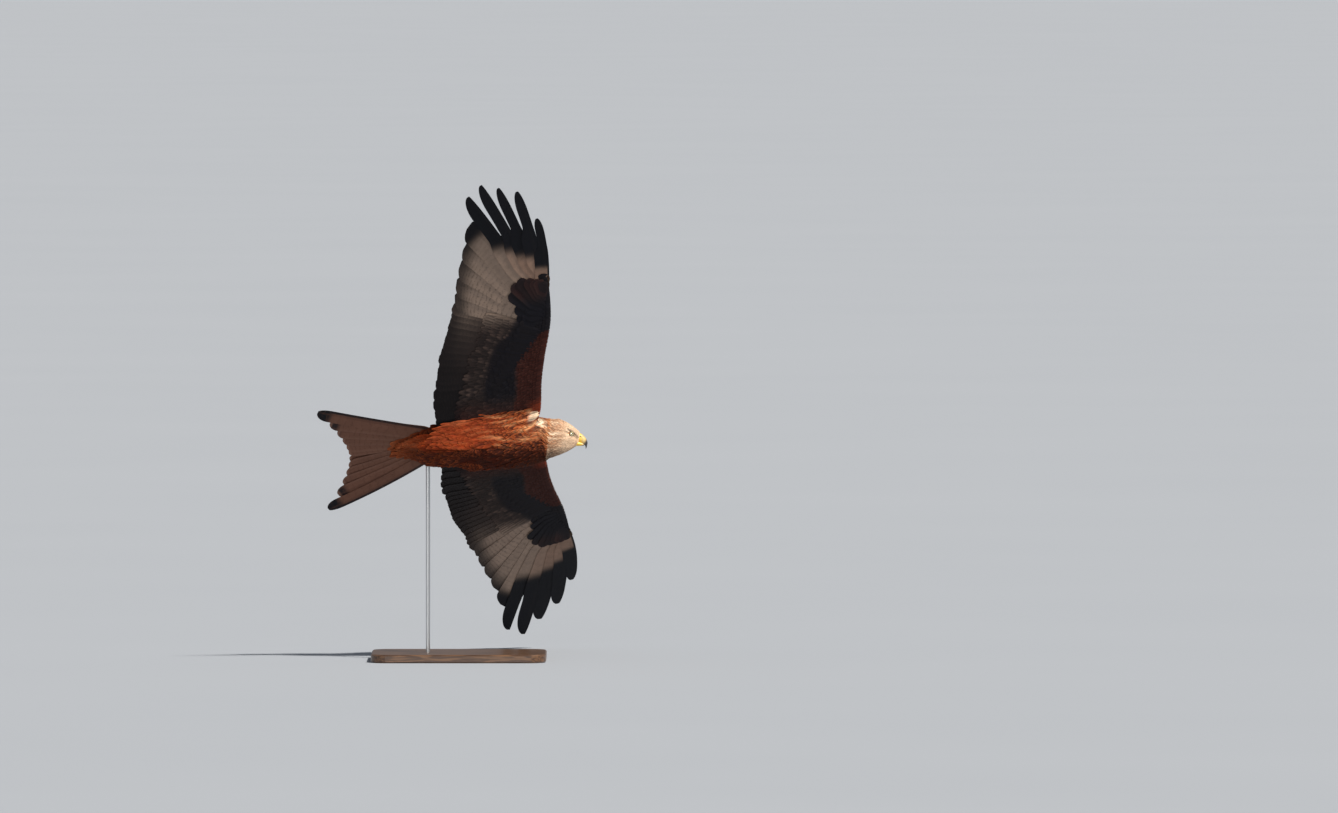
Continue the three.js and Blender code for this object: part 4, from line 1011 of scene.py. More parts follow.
def buildBody():
    pitch = lambda u: bodyCoat["length"](u) * bodyCoat["pitchShare"]
    for label, (uFrom, uTo) in bodyCoat["parts"].items():
        u, angle = staggered(uFrom, uTo, bodyPlace, pitch, bodyCoat["stretch"])
        raised = 5 * bell(u, 128, 17) * ease((np.sin(angle) - 0.05) / 0.5)  # full over the shoulders
        f = coatFeathers(u, angle, bodyCoat["length"](u), bodyCoat["widthShare"], raised)
        chance = dice.uniform(0, 1, len(u))
        # the fourth mark is the shoulders' painted highlight
        dark, pale, deep, glintPatch = [column(m) for m in bodyMarks(u - f["length"] * 0.6, angle, chance)]
        bright, between = streaksOn(f, "body")
        shade = 1 - 0.85 * column(ease((np.cos(angle) + 0.74) / 0.4))
        brown = 0.7 * between * column(ease((u + 10) / 80)) * (1 - pale)
        pale, deep = np.maximum(pale, bright * (1 - dark) * shade), np.maximum(deep, between * (1 - pale))
        featherPiece(
            f"coat_{label}", "body", drapedPoints(bodyPlace, "body", f), chance,
            (np.maximum(dark, brown), pale, deep, glintPatch), [column(m) for m in bodyTrim(u, angle, chance)],
            bodyPatch(u, angle), "body",
        )


eyeForm = {"x": 13.5, "y": 15.8, "z": 4.5, "radius": 8.2, "outward": 14, "rings": 40, "around": 36}
cornea = {"rise": 0.02, "reach": 0.5}  # share of the radius, and an angle from the pupil's middle
headCoat = {
    "length": through(
        (headFrom, 15), (headFrom + 20, 11.5), (headTo - 24, 7.5), (headTo - 10, 4.6), (headTo, 3.4)
    ),
    "eyeClear": 5.0, "pitchShare": 0.19, "widthShare": 0.15, "stretch": 1.4,
}


def eyeStripeAndShade(x, z):  # dark brow, stripe behind the eye and lore: partly dark skin, partly painted shade under the brow
    brow = bell(z - (9.9 - 0.42 * (x - eyeForm["x"])), 0, 2.7)
    brow = brow * ease((x - 2) / 5) * (1 - ease((x - 31) / 5))
    behind = bell(z, 5.5, 2) * bell(x, 4, 5)
    lore = bell(z - (2.5 - 0.3 * (x - 20)), 0, 2.2) * ease((x - 17) / 4) * (1 - ease((x - 29) / 5))
    return np.clip(np.maximum(np.maximum(brow, 0.8 * behind), 0.7 * lore), 0, 1)


def buildHead():
    pitch = lambda u: headCoat["length"](u) * headCoat["pitchShare"]
    u, angle = staggered(headFrom - 2, headTo - 1.5, bodyPlace, pitch, headCoat["stretch"])
    f = coatFeathers(u, angle, headCoat["length"](u), headCoat["widthShare"])
    f["rootHeight"][:] = -0.3
    points = drapedPoints(bodyPlace, "small", f)
    local = moved(headToBird.inverted(), points.reshape(-1, 3)).reshape(points.shape)
    fromEye = np.hypot(local[..., 0] - eyeForm["x"], local[..., 2] - eyeForm["z"]).min(axis=1)
    kept = fromEye > headCoat["eyeClear"]
    x, _, z = local.mean(axis=1).T
    chance = dice.uniform(0, 1, len(u))
    stripeAndShade, bright, between = eyeStripeAndShade(x, z), *streaksOn(f, "small")
    # the head's underside is darker: partly its own streaking, partly painted shade
    throat = ease((-np.sin(angle) - 0.55) / 0.3) * (1 - ease((x + 10) / 24))
    runOn, _, deep, _ = bodyMarks(u - 17, angle, chance)  # the body's markings and painted shade, over the nape and throat
    # the darkening round the eye is partly painted shade under the brow
    dark = np.maximum(column(np.maximum(0.85 * stripeAndShade, 0.9 * runOn)), 0.5 * between)
    dark = dark + column(0.5 * throat * mix(0.4, 1, chance))
    pale = np.maximum(column(mix(0.2, 1, chance) * ease((x + 12) / 20) * (1 - stripeAndShade)), bright)
    nape = mix(0.3, 1, chance) * (1 - ease((u - headFrom - 6) / 30)) + 0.1 * ease((z - 12) / 14)
    third = np.maximum(column(np.clip(nape, 0, 1)) * (1 - bright), np.maximum(0.9 * between, column(deep)))
    streak = ease(1 - x / 50) * mix(0.5, 1, chance)
    featherPiece(
        "coat_head", "small", points[kept], chance[kept], [m[kept] for m in (dark, pale, third)] + [0],
        (0.35, column(streak[kept]), 0, 0), bodyPatch(u, angle)[kept], "head",
    )


# Legs

legForm = {
    "line": ((-8, 25, -46), (-48, 24, -49), (-92, 17, -46)), "ankle": (-92, 16, -48.5),
    "end": (-139, 13, -28), "thigh": through((0, 9), (0.3, 18), (0.6, 15), (1, 7)), "length": 88,
    "coat": {"clear": 4, "pitch": 5.2, "half": 4.4, "length": (15, 20), "tip": (2.2, 3.4)},
}


def lineThrough(points):  # a smooth line through a few points, by their number
    parts = [through(*enumerate(values)) for values in zip(*points)]
    return lambda t: np.stack([part(t) for part in parts], axis=-1)


def thighPlace(u, angle, height, side=1):  # u falls from the hip to the ankle
    share = np.clip(1 - u / legForm["length"], 0, 1.1)
    radius = legForm["thigh"](share) - 2.5 + height
    out = np.stack([0 * (angle + share), np.cos(angle) * radius, np.sin(angle) * radius], axis=-1)
    return (lineThrough(legForm["line"])(2 * share) + out) * (1, side, 1)


def buildThighs():
    form = legForm["coat"]
    for side, word in sides:
        place = lambda u, angle, height: thighPlace(u, angle, height, side)
        u, angle = staggered(form["clear"], legForm["length"] - form["clear"], place, lambda u: form["pitch"])
        n = len(u)
        f = {
            "u": u, "angle": angle, "length": dice.uniform(*form["length"], n), "half": form["half"],
            "yaw": dice.normal(0, 0.12, n), "rootHeight": -0.5, "tipHeight": dice.uniform(*form["tip"], n),
            "camber": 0.8, "thick": 0.3,
        }
        chance = dice.uniform(0, 1, n)
        mark = (column(0.3 + 0.5 * (1 - chance)), 0, column(mix(0.35, 0.9, chance)), 0)
        patch = aroundPatch(angle, u / legForm["length"], 0.02, 0.95)
        points = drapedPoints(place, "body", f)
        featherPiece(f"coat_thigh_{word}", "body", points, chance, mark, (0.35, 0.3, 0, 0), patch, "body")


# Feathers of the flank, spread over the root of each wing's under side

flankForm = {
    "from": {1: -22, -1: -118}, "to": 131, "inner": 40, "outer": {1: 62, -1: 92}, "length": 40, "half": 4.4,
    # dark: painted shade over the left flank, the side away from the key light, carrying on the belly's
    # painted shade
    "across": 3.4, "along": 7.5, "slant": 34, "dark": {1: 0.45, -1: 0},
    "bulge": {
        1: through((40, 35), (46, 28), (56, 14), (66, 3), (74, 0)),
        -1: through((40, 37), (50, 29), (62, 20), (74, 10.5), (86, 2.5), (94, 0)),
    },
    "fade": through((-165, 0.5), (-118, 0.75), (-60, 1), (70, 1), (100, 0.85), (116, 0.5), (131, 0.1)),
    "reach": through((-118, 74), (-70, 80), (0, 86), (60, 92), (124, 96)),
}


def flankFeathers(side):
    made, inner, outer = [], flankForm["inner"], flankForm["outer"][side]
    for row, y0 in enumerate(np.arange(inner, outer, flankForm["across"])):
        outside = (y0 - inner) / (outer - inner)
        start = flankForm["from"][side] + flankForm["slant"] * outside + 4 * (row % 2)
        for x in np.arange(start, flankForm["to"], flankForm["along"]):
            x, y = x + dice.uniform(-3, 3), y0 + dice.uniform(-2, 2)
            if x > leadX(y) - 2 or y0 > flankForm["reach"](x):
                continue
            angle = math.radians(dice.uniform(0, 14))
            length = flankForm["length"] * dice.uniform(0.8, 1.15) * mix(1, 0.75, float(ease((x - 40) / 60)))
            made.append(leaning(
                x, y, length, angle, flankForm["half"], camber=-0.7, tipFrom=0.3, blunt=0.98, quill=0.35,
                liftRoot=2.5, liftTip=-mix(3.0, 1.2, outside) - dice.uniform(-0.6, 1), thick=0.4,
            ))
    return gathered(made)


def buildFlanks():
    for side, word in sides:
        f, fill = flankFeathers(side), flankForm["bulge"][side]
        surface = lambda x, y: wingSkin(x, y, -1) - fill(y) * flankForm["fade"](x)
        points = wingPlace(vanePoints(f, surface, "body"), side)
        chance = dice.uniform(0, 1, len(f["x0"]))
        x, y = mix(f["x0"], f["x1"], 0.6), f["y0"]
        # painted highlight: a whitish patch at the front of the wing's root, standing in for a glint of sun
        glintPatch = column(np.clip(bell(x, 117, 10) * bell(y, 74, 12) * 1.6, 0, 1))
        buff = column(ease((x - 20) / 70) * mix(0, 0.3, chance) + 0.2 * bell(y, 90, 9) * ease((-10 - x) / 60))
        rusty = column(mix(0, 0.6, chance**1.3) * ease((100 - x) / 30))
        bright, deep = streaks(points[..., 0], 2.6 + np.abs(points[..., 1]) / 50)
        # the first number is the left flank's painted shade
        mark = (flankForm["dark"][side], np.clip(buff + bright, 0, 1), np.maximum(rusty, deep), glintPatch)
        fringe, shaft = column(mix(0.25, 0.8, ease(x / 80))), column(mix(0.1, 0.6, ease((x + 10) / 80)))
        trim = (fringe, shaft * (1 - glintPatch), 0, 0)
        patch = wingPatch(f["x0"], f["y0"], -1)
        featherPiece(f"coat_flank_{word}", "body", points, chance, mark, trim, patch, "body")


# Long soft feathers from the belly and thighs that close over the feet

ventForm = {
    "half": through((-235, 16), (-190, 31), (-150, 43), (-110, 46), (-70, 48), (-40, 50)),
    "middle": through((-235, 2), (-190, 5), (-150, 0), (-110, -4), (-70, -8), (-40, -11)),
    "deep": through(
        (-235, 7), (-190, 30), (-165, 46), (-150, 51), (-120, 54), (-95, 53), (-70, 50), (-40, 47)
    ),
    "length": through((-186, 48), (-120, 44), (-44, 36)),
    "arc": (math.pi * 1.03, math.pi * 1.97), "from": -186, "to": -44, "pitch": 5.6, "stretch": 1.5,
    "widthShare": 0.15, "rootHeight": -4.0, "tip": (-0.4, 2.2),
}


def ventPlace(u, angle, height):
    half, middle, deep = [ventForm[key](u) for key in ("half", "middle", "deep")]
    down = middle + np.sin(angle) * (deep + height)
    return np.stack([u + 0 * angle, np.cos(angle) * (half + height), down], axis=-1)


def buildVent():
    pitch, ends = lambda u: ventForm["pitch"], (ventForm["from"], ventForm["to"])
    u, angle = staggered(*ends, ventPlace, pitch, ventForm["stretch"], ventForm["arc"])
    f = coatFeathers(u, angle, ventForm["length"](u), ventForm["widthShare"])
    f.update({"rootHeight": ventForm["rootHeight"], "tipHeight": dice.uniform(*ventForm["tip"], len(u))})
    chance = dice.uniform(0, 1, len(u))
    mark = [column(m) for m in bodyMarks(u - 30, angle, chance)]
    points, patch = drapedPoints(ventPlace, "body", f), bodyPatch(u, angle)
    featherPiece("coat_vent", "body", points, chance, mark, (0.3, 0.25, 0, 0), patch, "body")


# The skin: one closed surface under all the feathers

def addRings(bm, rings):  # joins circles of equal counts into a closed loft
    loops = []
    for ring in rings:
        made = bmesh.ops.create_circle(bm, cap_ends=False, segments=len(ring), radius=1)["verts"]
        for vert, place in zip(made, ring):
            vert.co = place
        loops.append(list({edge for vert in made for edge in vert.link_edges}))
    for first, second in zip(loops, loops[1:]):
        bmesh.ops.bridge_loops(bm, edges=first + second)
    for ends in (loops[0], loops[-1]):
        bmesh.ops.contextual_create(bm, geom=ends)


def pieceFrom(name, bm, matrix=None):
    bmesh.ops.remove_doubles(bm, verts=bm.verts, dist=1e-4)
    bmesh.ops.recalc_face_normals(bm, faces=bm.faces[:])
    mesh = bpy.data.meshes.new(name)
    bm.to_mesh(mesh)
    bm.free()
    if matrix is not None:
        mesh.transform(matrix)
    mesh.shade_smooth()
    return placed(name, mesh)


skinForm = {
    "rings": 70, "around": 36, "wingRings": 26, "wingAround": 20, "legRings": 12, "legAround": 16,
    "voxel": 2.3, "smoothing": 3, "trunkRings": 60,  # the body line's rings that lie level, up to the neck
}


def around(count):
    return np.linspace(0, fullTurn, count, endpoint=False)


def wingRing(y, side):
    count = skinForm["wingAround"]
    inset = mix(wingForm["coat"], 1.2, float(ease((y - 250) / 180)))
    lead, rear = float(leadX(y)), float(rearX(y))
    along = (1 - np.cos(np.linspace(0, math.pi, count // 2 + 1))) / 2
    rows = []
    for face, part in ((1, along), (-1, along[::-1][1:-1])):
        x = lead - inset - part * (lead - rear - inset)
        half = max(float(wingForm["thick"](y)) / 2 - inset, 0.9)
        z = wingSurface(x, y) + face * wingSection(part, face) * half
        rows.append(np.stack([x, np.full(len(x), y), z], axis=1))
    return wingPlace(np.concatenate(rows), side)


def skinTint(mesh):  # the same markings and painted shade as the coat, carried by the vertices
    x, y, z = vertexPlaces(mesh).T
    trunkRings = skinForm["trunkRings"]
    middle = np.interp(x, body["u"][:trunkRings], body["table"][:trunkRings, 2])
    half = np.full(len(x), 0.5)
    trunk = bodyMarks(x, np.arctan2(z - middle, y), half)
    wing = wingMarks(x, np.abs(y), np.where(z > wingSurface(x, np.abs(y)), 1, -1), half)
    onWing = ease((np.abs(y) - 58) / 8)
    carry(mesh, "mark", [*[mix(a, b, onWing) for a, b in zip(trunk[:3], wing[:3])], onWing])


def buildSkin():
    bm = bmesh.new()
    turns = around(skinForm["around"])
    stations = np.linspace(trunkForm["back"] - 20, headTo, skinForm["rings"])
    addRings(bm, [bodyPlace(np.full(len(turns), u), turns, 0.0) for u in stations])
    turns = around(skinForm["legAround"])
    for side, _ in sides:
        stations = np.linspace(wingForm["root"], wingForm["end"], skinForm["wingRings"])
        addRings(bm, [wingRing(float(y), side) for y in stations])
        stations = np.linspace(legForm["length"], 0, skinForm["legRings"])
        addRings(bm, [thighPlace(np.full(len(turns), u), turns, 0.0, side) for u in stations])
    skin = pieceFrom("skin", bm)
    remesh = skin.modifiers.new("even", "REMESH")
    remesh.mode = "VOXEL"
    remesh.voxel_size = skinForm["voxel"]
    made = bpy.data.meshes.new_from_object(skin.evaluated_get(bpy.context.evaluated_depsgraph_get()))
    skin.modifiers.clear()
    skin.data = made
    bm = bmesh.new()
    bm.from_mesh(made)
    allAxes = {f"use_axis_{letter}": True for letter in "xyz"}
    for _ in range(skinForm["smoothing"]):
        bmesh.ops.smooth_vert(bm, verts=bm.verts, factor=0.5, **allAxes)
    bm.to_mesh(made)
    bm.free()
    skinTint(made)
    made.transform(birdToWorld)
    made.shade_smooth()
    made.materials.clear()
    limbs = [name for _, word in sides for name in (f"wing_{word}_arm", f"wing_{word}_hand", f"thigh_{word}")]
    settle(skin, "skin", "torso", "neck", "head", "tail", *limbs)
    print(f"skin: {2 * len(made.polygons)} triangles")


def skinFinish():
    f = Finish("skin_down", {"Roughness": 0.85, "Sheen Weight": 0.2, "Specular IOR Level": 0.2})
    dark, pale, third, onWing = f.fourOf("mark")
    down = f.noise(f.place(), 260, 4)
    ground = f.blend(bodyLook["ground"], underLook["ground"], onWing)
    colour = f.blend(ground, bodyLook["dark"], dark)
    colour = f.blend(colour, f.blend(bodyLook["pale"], underLook["pale"], onWing), pale)
    colour = f.blend(colour, bodyLook["third"], third)
    f.feed("Base Color", f.scaled(colour, 0.45 + down * 0.4))
    f.bump(down, 0.5, 0.001)
    return f.material


# Eyes

def buildEyes():
    for side, word in sides:
        bm = bmesh.new()
        radius = eyeForm["radius"]
        bmesh.ops.create_uvsphere(
            bm, u_segments=eyeForm["around"], v_segments=eyeForm["rings"], radius=radius
        )
        ring = {v.index: math.acos(max(-1, min(1, v.co.z / radius))) for v in bm.verts}
        for v in bm.verts:
            v.co *= 1 + cornea["rise"] * math.exp(-((ring[v.index] / cornea["reach"]) ** 2))
        place = Matrix.Translation((eyeForm["x"], side * eyeForm["y"], eyeForm["z"]))
        gaze = turned(-eyeForm["outward"] * side, "Z") @ turned(-90 * side, "X")
        piece = pieceFrom(f"eyeball_{word}", bm, headToWorld @ place @ gaze)
        carry(piece.data, "lie", [[ring[i] for i in range(len(piece.data.vertices))], 0, 0, 0])
        settle(piece, "eye", f"eye_{word}")
    print("eyes")


def eyeFinish():
    f = Finish("eye_wet", {"Roughness": 0.08, "Coat Weight": 1.0, "Coat Roughness": 0.02})
    ring = f.fourOf("lie")[0]
    rays = f.noise(f.place(), 900, 4)
    iris = f.blend((0.62, 0.52, 0.22), (0.74, 0.70, 0.48), rays)
    colour = f.blend((0.004, 0.004, 0.005), iris, f.rise(ring, 0.27, 0.30))
    f.feed("Base Color", f.blend(colour, (0.03, 0.022, 0.015), f.rise(ring, 0.60, 0.66)))
    return f.material


lidForm = {
    "radius": 4.9, "thick": 0.9, "out": 6.7, "lower": 2.0, "proud": 0.7, "around": 10, "steps": 40,
}


def ringAround(bm, centre, axis, radius, thick):  # a closed ring swept round an axis
    out = axis.orthogonal().normalized()
    up = axis.cross(out).normalized()
    made = bmesh.ops.create_circle(bm, cap_ends=False, segments=lidForm["around"], radius=thick)["verts"]
    turn = Matrix((out, axis, up)).transposed().to_4x4()
    bmesh.ops.transform(bm, matrix=Matrix.Translation(centre + out * radius) @ turn, verts=made)
    edges = list({edge for vert in made for edge in vert.link_edges})
    bmesh.ops.spin(
        bm, geom=made + edges, cent=centre, axis=axis, angle=fullTurn, steps=lidForm["steps"], use_merge=True
    )


def buildLids():
    bm = bmesh.new()
    for side, _ in sides:
        axis = turned(-eyeForm["outward"] * side, "Z") @ Vector((0, side, 0))
        centre = Vector((eyeForm["x"], side * eyeForm["y"], eyeForm["z"])) + axis * lidForm["out"]
        before = set(bm.verts)
        ringAround(bm, centre, axis, lidForm["radius"], lidForm["thick"])
        for v in set(bm.verts) - before:  # the upper lid is flatter and stands out, as under a brow
            over = max((v.co.z - centre.z) / lidForm["radius"], 0)
            v.co.z -= over * lidForm["lower"]
            v.co.y += side * over * lidForm["proud"]
    settle(pieceFrom("lids", bm, headToWorld), "lid")
    print("lids")


# Bill

billForm = {
    "culmenX": through((0, 26), (0.25, 36), (0.5, 46), (0.7, 53.5), (0.85, 57.2), (0.95, 57), (1, 55.8)),
    "culmenZ": through((0, 16), (0.25, 13.8), (0.5, 9), (0.7, 1.5), (0.85, -7.5), (0.95, -16), (1, -20)),
    "edgeX": through((0, 24), (0.25, 32), (0.5, 41), (0.7, 47.5), (0.85, 52), (0.95, 54.6), (1, 55.2)),
    "edgeZ": through(
        (0, -7.5), (0.25, -7.4), (0.5, -8.4), (0.7, -10), (0.85, -12.2), (0.95, -17), (1, -19.8)
    ),
    "half": through((0, 9.5), (0.25, 8.6), (0.5, 6.9), (0.7, 5.2), (0.85, 3.6), (0.95, 1.8), (1, 0.5)),
    "nostril": {"x": 37, "z": 5, "reach": 1.9, "deep": 1.4},
    "rings": 30, "around": 32, "cere": {"x": 40, "reach": 1.6, "swell": 0.4},
    "lower": {
        "x": (24, 50), "half": (8.2, 1.6), "top": (-5.8, -9.9), "under": (-19, -13.4),
        "rings": 16, "around": 24,
    },
}


def billSection(top, edge, half, count):
    turn = np.arange(count) / count * fullTurn
    rise = (1 - np.cos(turn)) / 2
    width = half * np.sin(turn) * np.sqrt(1 - 0.25 * rise)
    return np.stack([mix(edge[0], top[0], rise**0.9), width, mix(edge[1], top[1], rise**0.9)], axis=1)


def fromNostril(x, z):
    hole = billForm["nostril"]
    return np.exp(-((np.hypot((x - hole["x"]) / 1.5, z - hole["z"]) / hole["reach"]) ** 4))


def buildBill():
    bm = bmesh.new()
    rings, count, cereEdge = [], billForm["around"], billForm["cere"]
    for t in np.linspace(0, 1, billForm["rings"]):
        along = lambda *keys: [float(billForm[key](t)) for key in keys]
        rings.append(billSection(along("culmenX", "culmenZ"), along("edgeX", "edgeZ"), *along("half"), count))
    addRings(bm, rings)
    for v in bm.verts:  # the nostrils, and the cere's swollen edge
        if abs(v.co.y) > 2:
            v.co.y *= 1 - billForm["nostril"]["deep"] / 8 * fromNostril(v.co.x, v.co.z)
        swell = math.exp(-(((v.co.x - cereEdge["x"]) / cereEdge["reach"]) ** 2)) * cereEdge["swell"]
        swell = swell if v.co.z > -4 else 0
        v.co.y *= 1 + swell / 8
        v.co.z += swell if v.co.z > 4 else 0
    upper = pieceFrom("beak_upper", bm, headToWorld)
    bm = bmesh.new()
    rings, form = [], billForm["lower"]
    for t in np.linspace(0, 1, form["rings"]):
        x = mix(*form["x"], t)
        half = mix(*form["half"], min(max((x - form["x"][0]) / 31, 0), 1) ** 1.3)
        top, under = (x, mix(*form["top"], t**2)), (x, mix(*form["under"], t**1.4))
        rings.append(billSection(top, under, half, form["around"]))
    addRings(bm, rings)
    lower = pieceFrom("beak_lower", bm, headToWorld)
    for piece, node in ((upper, "bill_upper"), (lower, "bill_lower")):
        x, _, z = moved(headToWorld.inverted(), vertexPlaces(piece.data)).T
        cere = 1 - ease((x - 38 + 0.25 * (z - 4)) / 3.5)
        horn = ease((x - 48 - 0.3 * z) / 7)
        # the third number marks the nostril, where shade is painted
        carry(piece.data, "mark", [cere, horn, fromNostril(x, z) * (piece == upper), 0])
        settle(piece, "bill", node)
    print("bill")


def billFinish():
    f = Finish("bill_horn", {"Roughness": 0.32, "Specular IOR Level": 0.5})
    cere, horn, nostrilShade, _ = f.fourOf("mark")
    grain = f.noise(f.place(), 700, 3)
    colour = f.blend((0.60, 0.42, 0.16), (0.78, 0.50, 0.07), cere)
    colour = f.blend(colour, (0.035, 0.032, 0.035), horn)
    # painted shade in the nostril's hollow
    colour = f.blend(colour, (0.02, 0.012, 0.008), nostrilShade)
    f.feed("Base Color", f.scaled(colour, 0.8 + grain * 0.4))
    f.bump(grain, 0.15, 0.0004)
    return f.material


# Feet, tucked back under the tail

footForm = {
    "toes": ((-6.5, 28, -9), (0, 32, -10), (6.5, 29, -9), (1, 17, -9)),  # across, length and drop
    "shank": through((0, 4.6), (1, 3.9), (2, 5)),
    "toe": through((0, 3.6), (1, 3.3), (2, 2.9), (3, 2.2), (3.4, 1.9), (4, 1.4), (5, 0.3)),
    "clawFrom": 3.1, "clawThick": 0.86, "knucklesTo": 3.2, "knuckle": 0.28, "scale": 0.18,
    "rings": {"shank": 22, "toe": 34}, "around": {"shank": 14, "toe": 12, "claw": 10},
}


def tubeRings(points, radii, count):
    rings = []
    for i, p in enumerate(points):
        ahead = (points[min(i + 1, len(points) - 1)] - points[max(i - 1, 0)]).normalized()
        across = ahead.cross(Vector((0, 1, 0))).normalized()
        over = across.cross(ahead)
        turns = [j / count * fullTurn for j in range(count)]
        rings.append([p + across * math.cos(a) * radii[i] + over * math.sin(a) * radii[i] for a in turns])
    return rings


def smoothLine(points, steps):
    shares = np.linspace(0, len(points) - 1, steps)
    return [Vector(p) for p in lineThrough(points)(shares)], shares


def toeLine(toe, side):
    across, length, drop = toe
    x, y, z = legForm["end"]
    y *= side
    long = length * (0.35 if length < 20 else 1)  # the hind toe is short
    tipX, tipY, tipZ = x - long * 0.62, y + across * 1.2, z + drop
    return [
        (x + 3, y + across * 0.5, z), (x - long * 0.45, y + across, z + drop * 0.15),
        (x - long * 0.75, y + across * 1.15, z + drop * 0.6), (tipX, tipY, tipZ),
        (tipX + 6.5, tipY, tipZ - 3.2), (tipX + 10.5, tipY, tipZ + 1.2),
    ]


def buildFeet():
    rings, counts = footForm["rings"], footForm["around"]
    for side, word in sides:
        skinBm, clawBm = bmesh.new(), bmesh.new()
        ankle, end = np.array(legForm["ankle"]), np.array(legForm["end"])
        shank = [tuple(p * (1, side, 1)) for p in (ankle + (10, 1, -1), (ankle + end) / 2, end)]
        points, shares = smoothLine(shank, rings["shank"])
        scale = footForm["scale"]
        sizes = [float(footForm["shank"](t)) + scale * math.sin(i * 2.4) for i, t in enumerate(shares)]
        addRings(skinBm, tubeRings(points, sizes, counts["shank"]))
        for toe in footForm["toes"]:
            points, shares = smoothLine(toeLine(toe, side), rings["toe"])
            knuckle = lambda t: footForm["knuckle"] * math.sin(t * 7) if t < footForm["knucklesTo"] else 0
            sizes = [float(footForm["toe"](t)) + knuckle(t) for t in shares]
            claw = int(np.argmax(shares >= footForm["clawFrom"]))
            addRings(skinBm, tubeRings(points[:claw + 2], sizes[:claw + 2], counts["toe"]))
            thin = [size * footForm["clawThick"] for size in sizes[claw:]]
            addRings(clawBm, tubeRings(points[claw:], thin, counts["claw"]))
        settle(pieceFrom(f"foot_skin_{word}", skinBm, birdToWorld), "foot", f"foot_{word}")
        settle(pieceFrom(f"claws_{word}", clawBm, birdToWorld), "claw")
    print("feet")


def footFinish():
    f = Finish("foot_scales", {"Roughness": 0.5})
    pattern = {"Vector": f.place(), "Scale": 520}
    cells = f.node("ShaderNodeTexVoronoi", {"feature": "DISTANCE_TO_EDGE"}, pattern)
    scale = f.rise(cells, 0, 0.12)
    f.feed("Base Color", f.blend((0.42, 0.24, 0.04), (0.80, 0.52, 0.07), scale))
    f.bump(scale, 0.5, 0.0005)
    return f.material


# Stand

def woodFinish():
    f = Finish("stand_wood", {"Roughness": 0.38, "Coat Weight": 0.3, "Coat Roughness": 0.2})
    rings = f.noise(f.place(Scale=(1.6, 22, 22)), 3.2, 5)
    pores = f.noise(f.place(Scale=(8, 260, 260)), 4, 3)
    bands = f.rise(f.maths("SINE", rings * 38), -0.6, 0.9)
    colour = f.blend((0.055, 0.026, 0.013), (0.13, 0.066, 0.032), bands)
    f.feed("Base Color", f.scaled(colour, 0.6 + pores * 0.75))
    f.bump(pores, 0.2, 0.0004)
    return f.material


def finishStand():
    for node, finish in (("stand_base", "wood"), ("stand_rod", "steel")):
        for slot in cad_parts[node].material_slots:
            slot.link = "OBJECT"
            slot.material = finishes[finish]
    print("stand")


# Floor, light and camera

studio = {
    "eye": 40.0, "rise": 2.0, "sensor": 36, "scale": 0.0024,  # metres for each pixel of the photo
    "photoWidth": 1338, "photoMiddle": (669, 406.5), "birdPixel": (490, 441),
    "air": 0.22, "airTint": (0.86, 0.92, 1.0, 1), "floor": 600, "clip": (1, 1500),
    "key": {"energy": 5.5, "soft": 5, "from": (0.47, -0.454, 0.757), "tint": (1.0, 0.93, 0.84)},
    "fill": {"energy": 1.0, "soft": 40, "from": (-0.1, -0.99, 0.1), "tint": (1.0, 0.97, 0.93)},
}


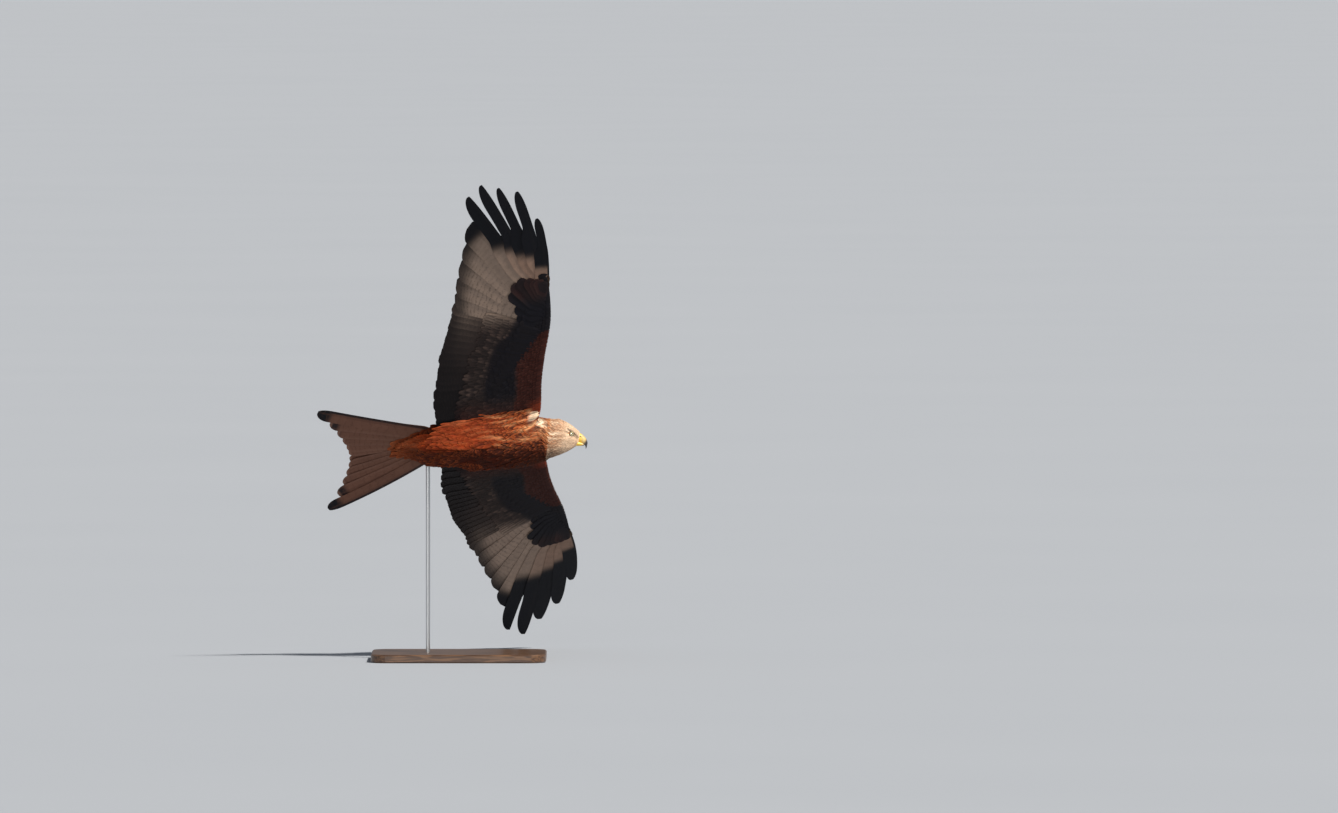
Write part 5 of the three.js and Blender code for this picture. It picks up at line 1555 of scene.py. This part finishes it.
def buildStudio():
    bm = bmesh.new()
    bmesh.ops.create_grid(bm, x_segments=1, y_segments=1, size=studio["floor"])
    floor = pieceFrom("floor", bm)
    floor.data.materials.append(finishes["floor"])

    world = bpy.data.worlds.new("air")
    bpy.context.scene.world = world
    world.use_nodes = True
    air = world.node_tree.nodes["Background"]
    air.inputs["Color"].default_value = studio["airTint"]
    air.inputs["Strength"].default_value = studio["air"]

    for name in ("key", "fill"):
        lamp = bpy.data.lights.new(name, "SUN")
        lamp.energy, lamp.color = studio[name]["energy"], studio[name]["tint"]
        lamp.angle = math.radians(studio[name]["soft"])
        placed(name, lamp).rotation_euler = Vector(studio[name]["from"]).to_track_quat("Z", "Y").to_euler()

    rise = math.radians(studio["rise"])
    back = Vector((0, -math.cos(rise), math.sin(rise)))
    up = Vector((0, math.sin(rise), math.cos(rise)))
    (middleX, middleY), (birdX, birdY) = studio["photoMiddle"], studio["birdPixel"]
    right, over = (middleX - birdX) * studio["scale"], (birdY - middleY) * studio["scale"]
    lens = bpy.data.cameras.new("view")
    lens.sensor_width = studio["sensor"]
    lens.lens = studio["sensor"] * studio["eye"] / (studio["photoWidth"] * studio["scale"])
    lens.clip_start, lens.clip_end = studio["clip"]
    camera = placed("view", lens)
    aim = Vector(birdPose["place"]) * 0.001 + Vector((right, 0, 0)) + up * over
    camera.location = aim + back * studio["eye"]
    camera.rotation_mode = "QUATERNION"
    camera.rotation_quaternion = back.to_track_quat("Z", "Y")
    bpy.context.scene.camera = camera
    bpy.context.scene.view_settings.view_transform = "Standard"
    print("studio")


finishes = {
    "flight": plumage("flight_feathers", flightLook),
    "under": plumage("under_coverts", underLook),
    "over": plumage("upper_coverts", upperLook),
    "tail": plumage("tail_feathers", tailLook),
    "body": plumage("body_feathers", bodyLook),
    "head": plumage("head_feathers", headLook),
    "skin": skinFinish(),
    "eye": eyeFinish(),
    "lid": grained(
        "lid_skin", {"Roughness": 0.5}, (0.03, 0.024, 0.018), (0.12, 0.09, 0.045), 1500, 3, (0.4, 0.0004)
    ),
    "bill": billFinish(),
    "foot": footFinish(),
    "claw": grained(
        "claw_horn", {"Roughness": 0.22}, (0.012, 0.011, 0.012), (0.05, 0.045, 0.04), 600, 3, Scale=(1, 1, 4)
    ),
    "wood": woodFinish(),
    "steel": grained(
        "stand_steel", {"Metallic": 1.0, "Roughness": 0.3}, (0.52, 0.53, 0.54), (0.70, 0.71, 0.72), 2, 2,
        (0.12, 0.0002), Scale=(900, 900, 6),
    ),
    "floor": grained(
        "floor_paper", {"Roughness": 0.95, "Specular IOR Level": 0.1}, (0.335, 0.365, 0.41),
        (0.35, 0.38, 0.425), 0.6, 2,
    ),
}

buildStudio()
buildSkin()
buildBody()
buildHead()
buildThighs()
buildVent()
buildFlanks()
for side, word in sides:
    buildWing(side, word)
buildTail()
buildEyes()
buildLids()
buildBill()
buildFeet()
finishStand()
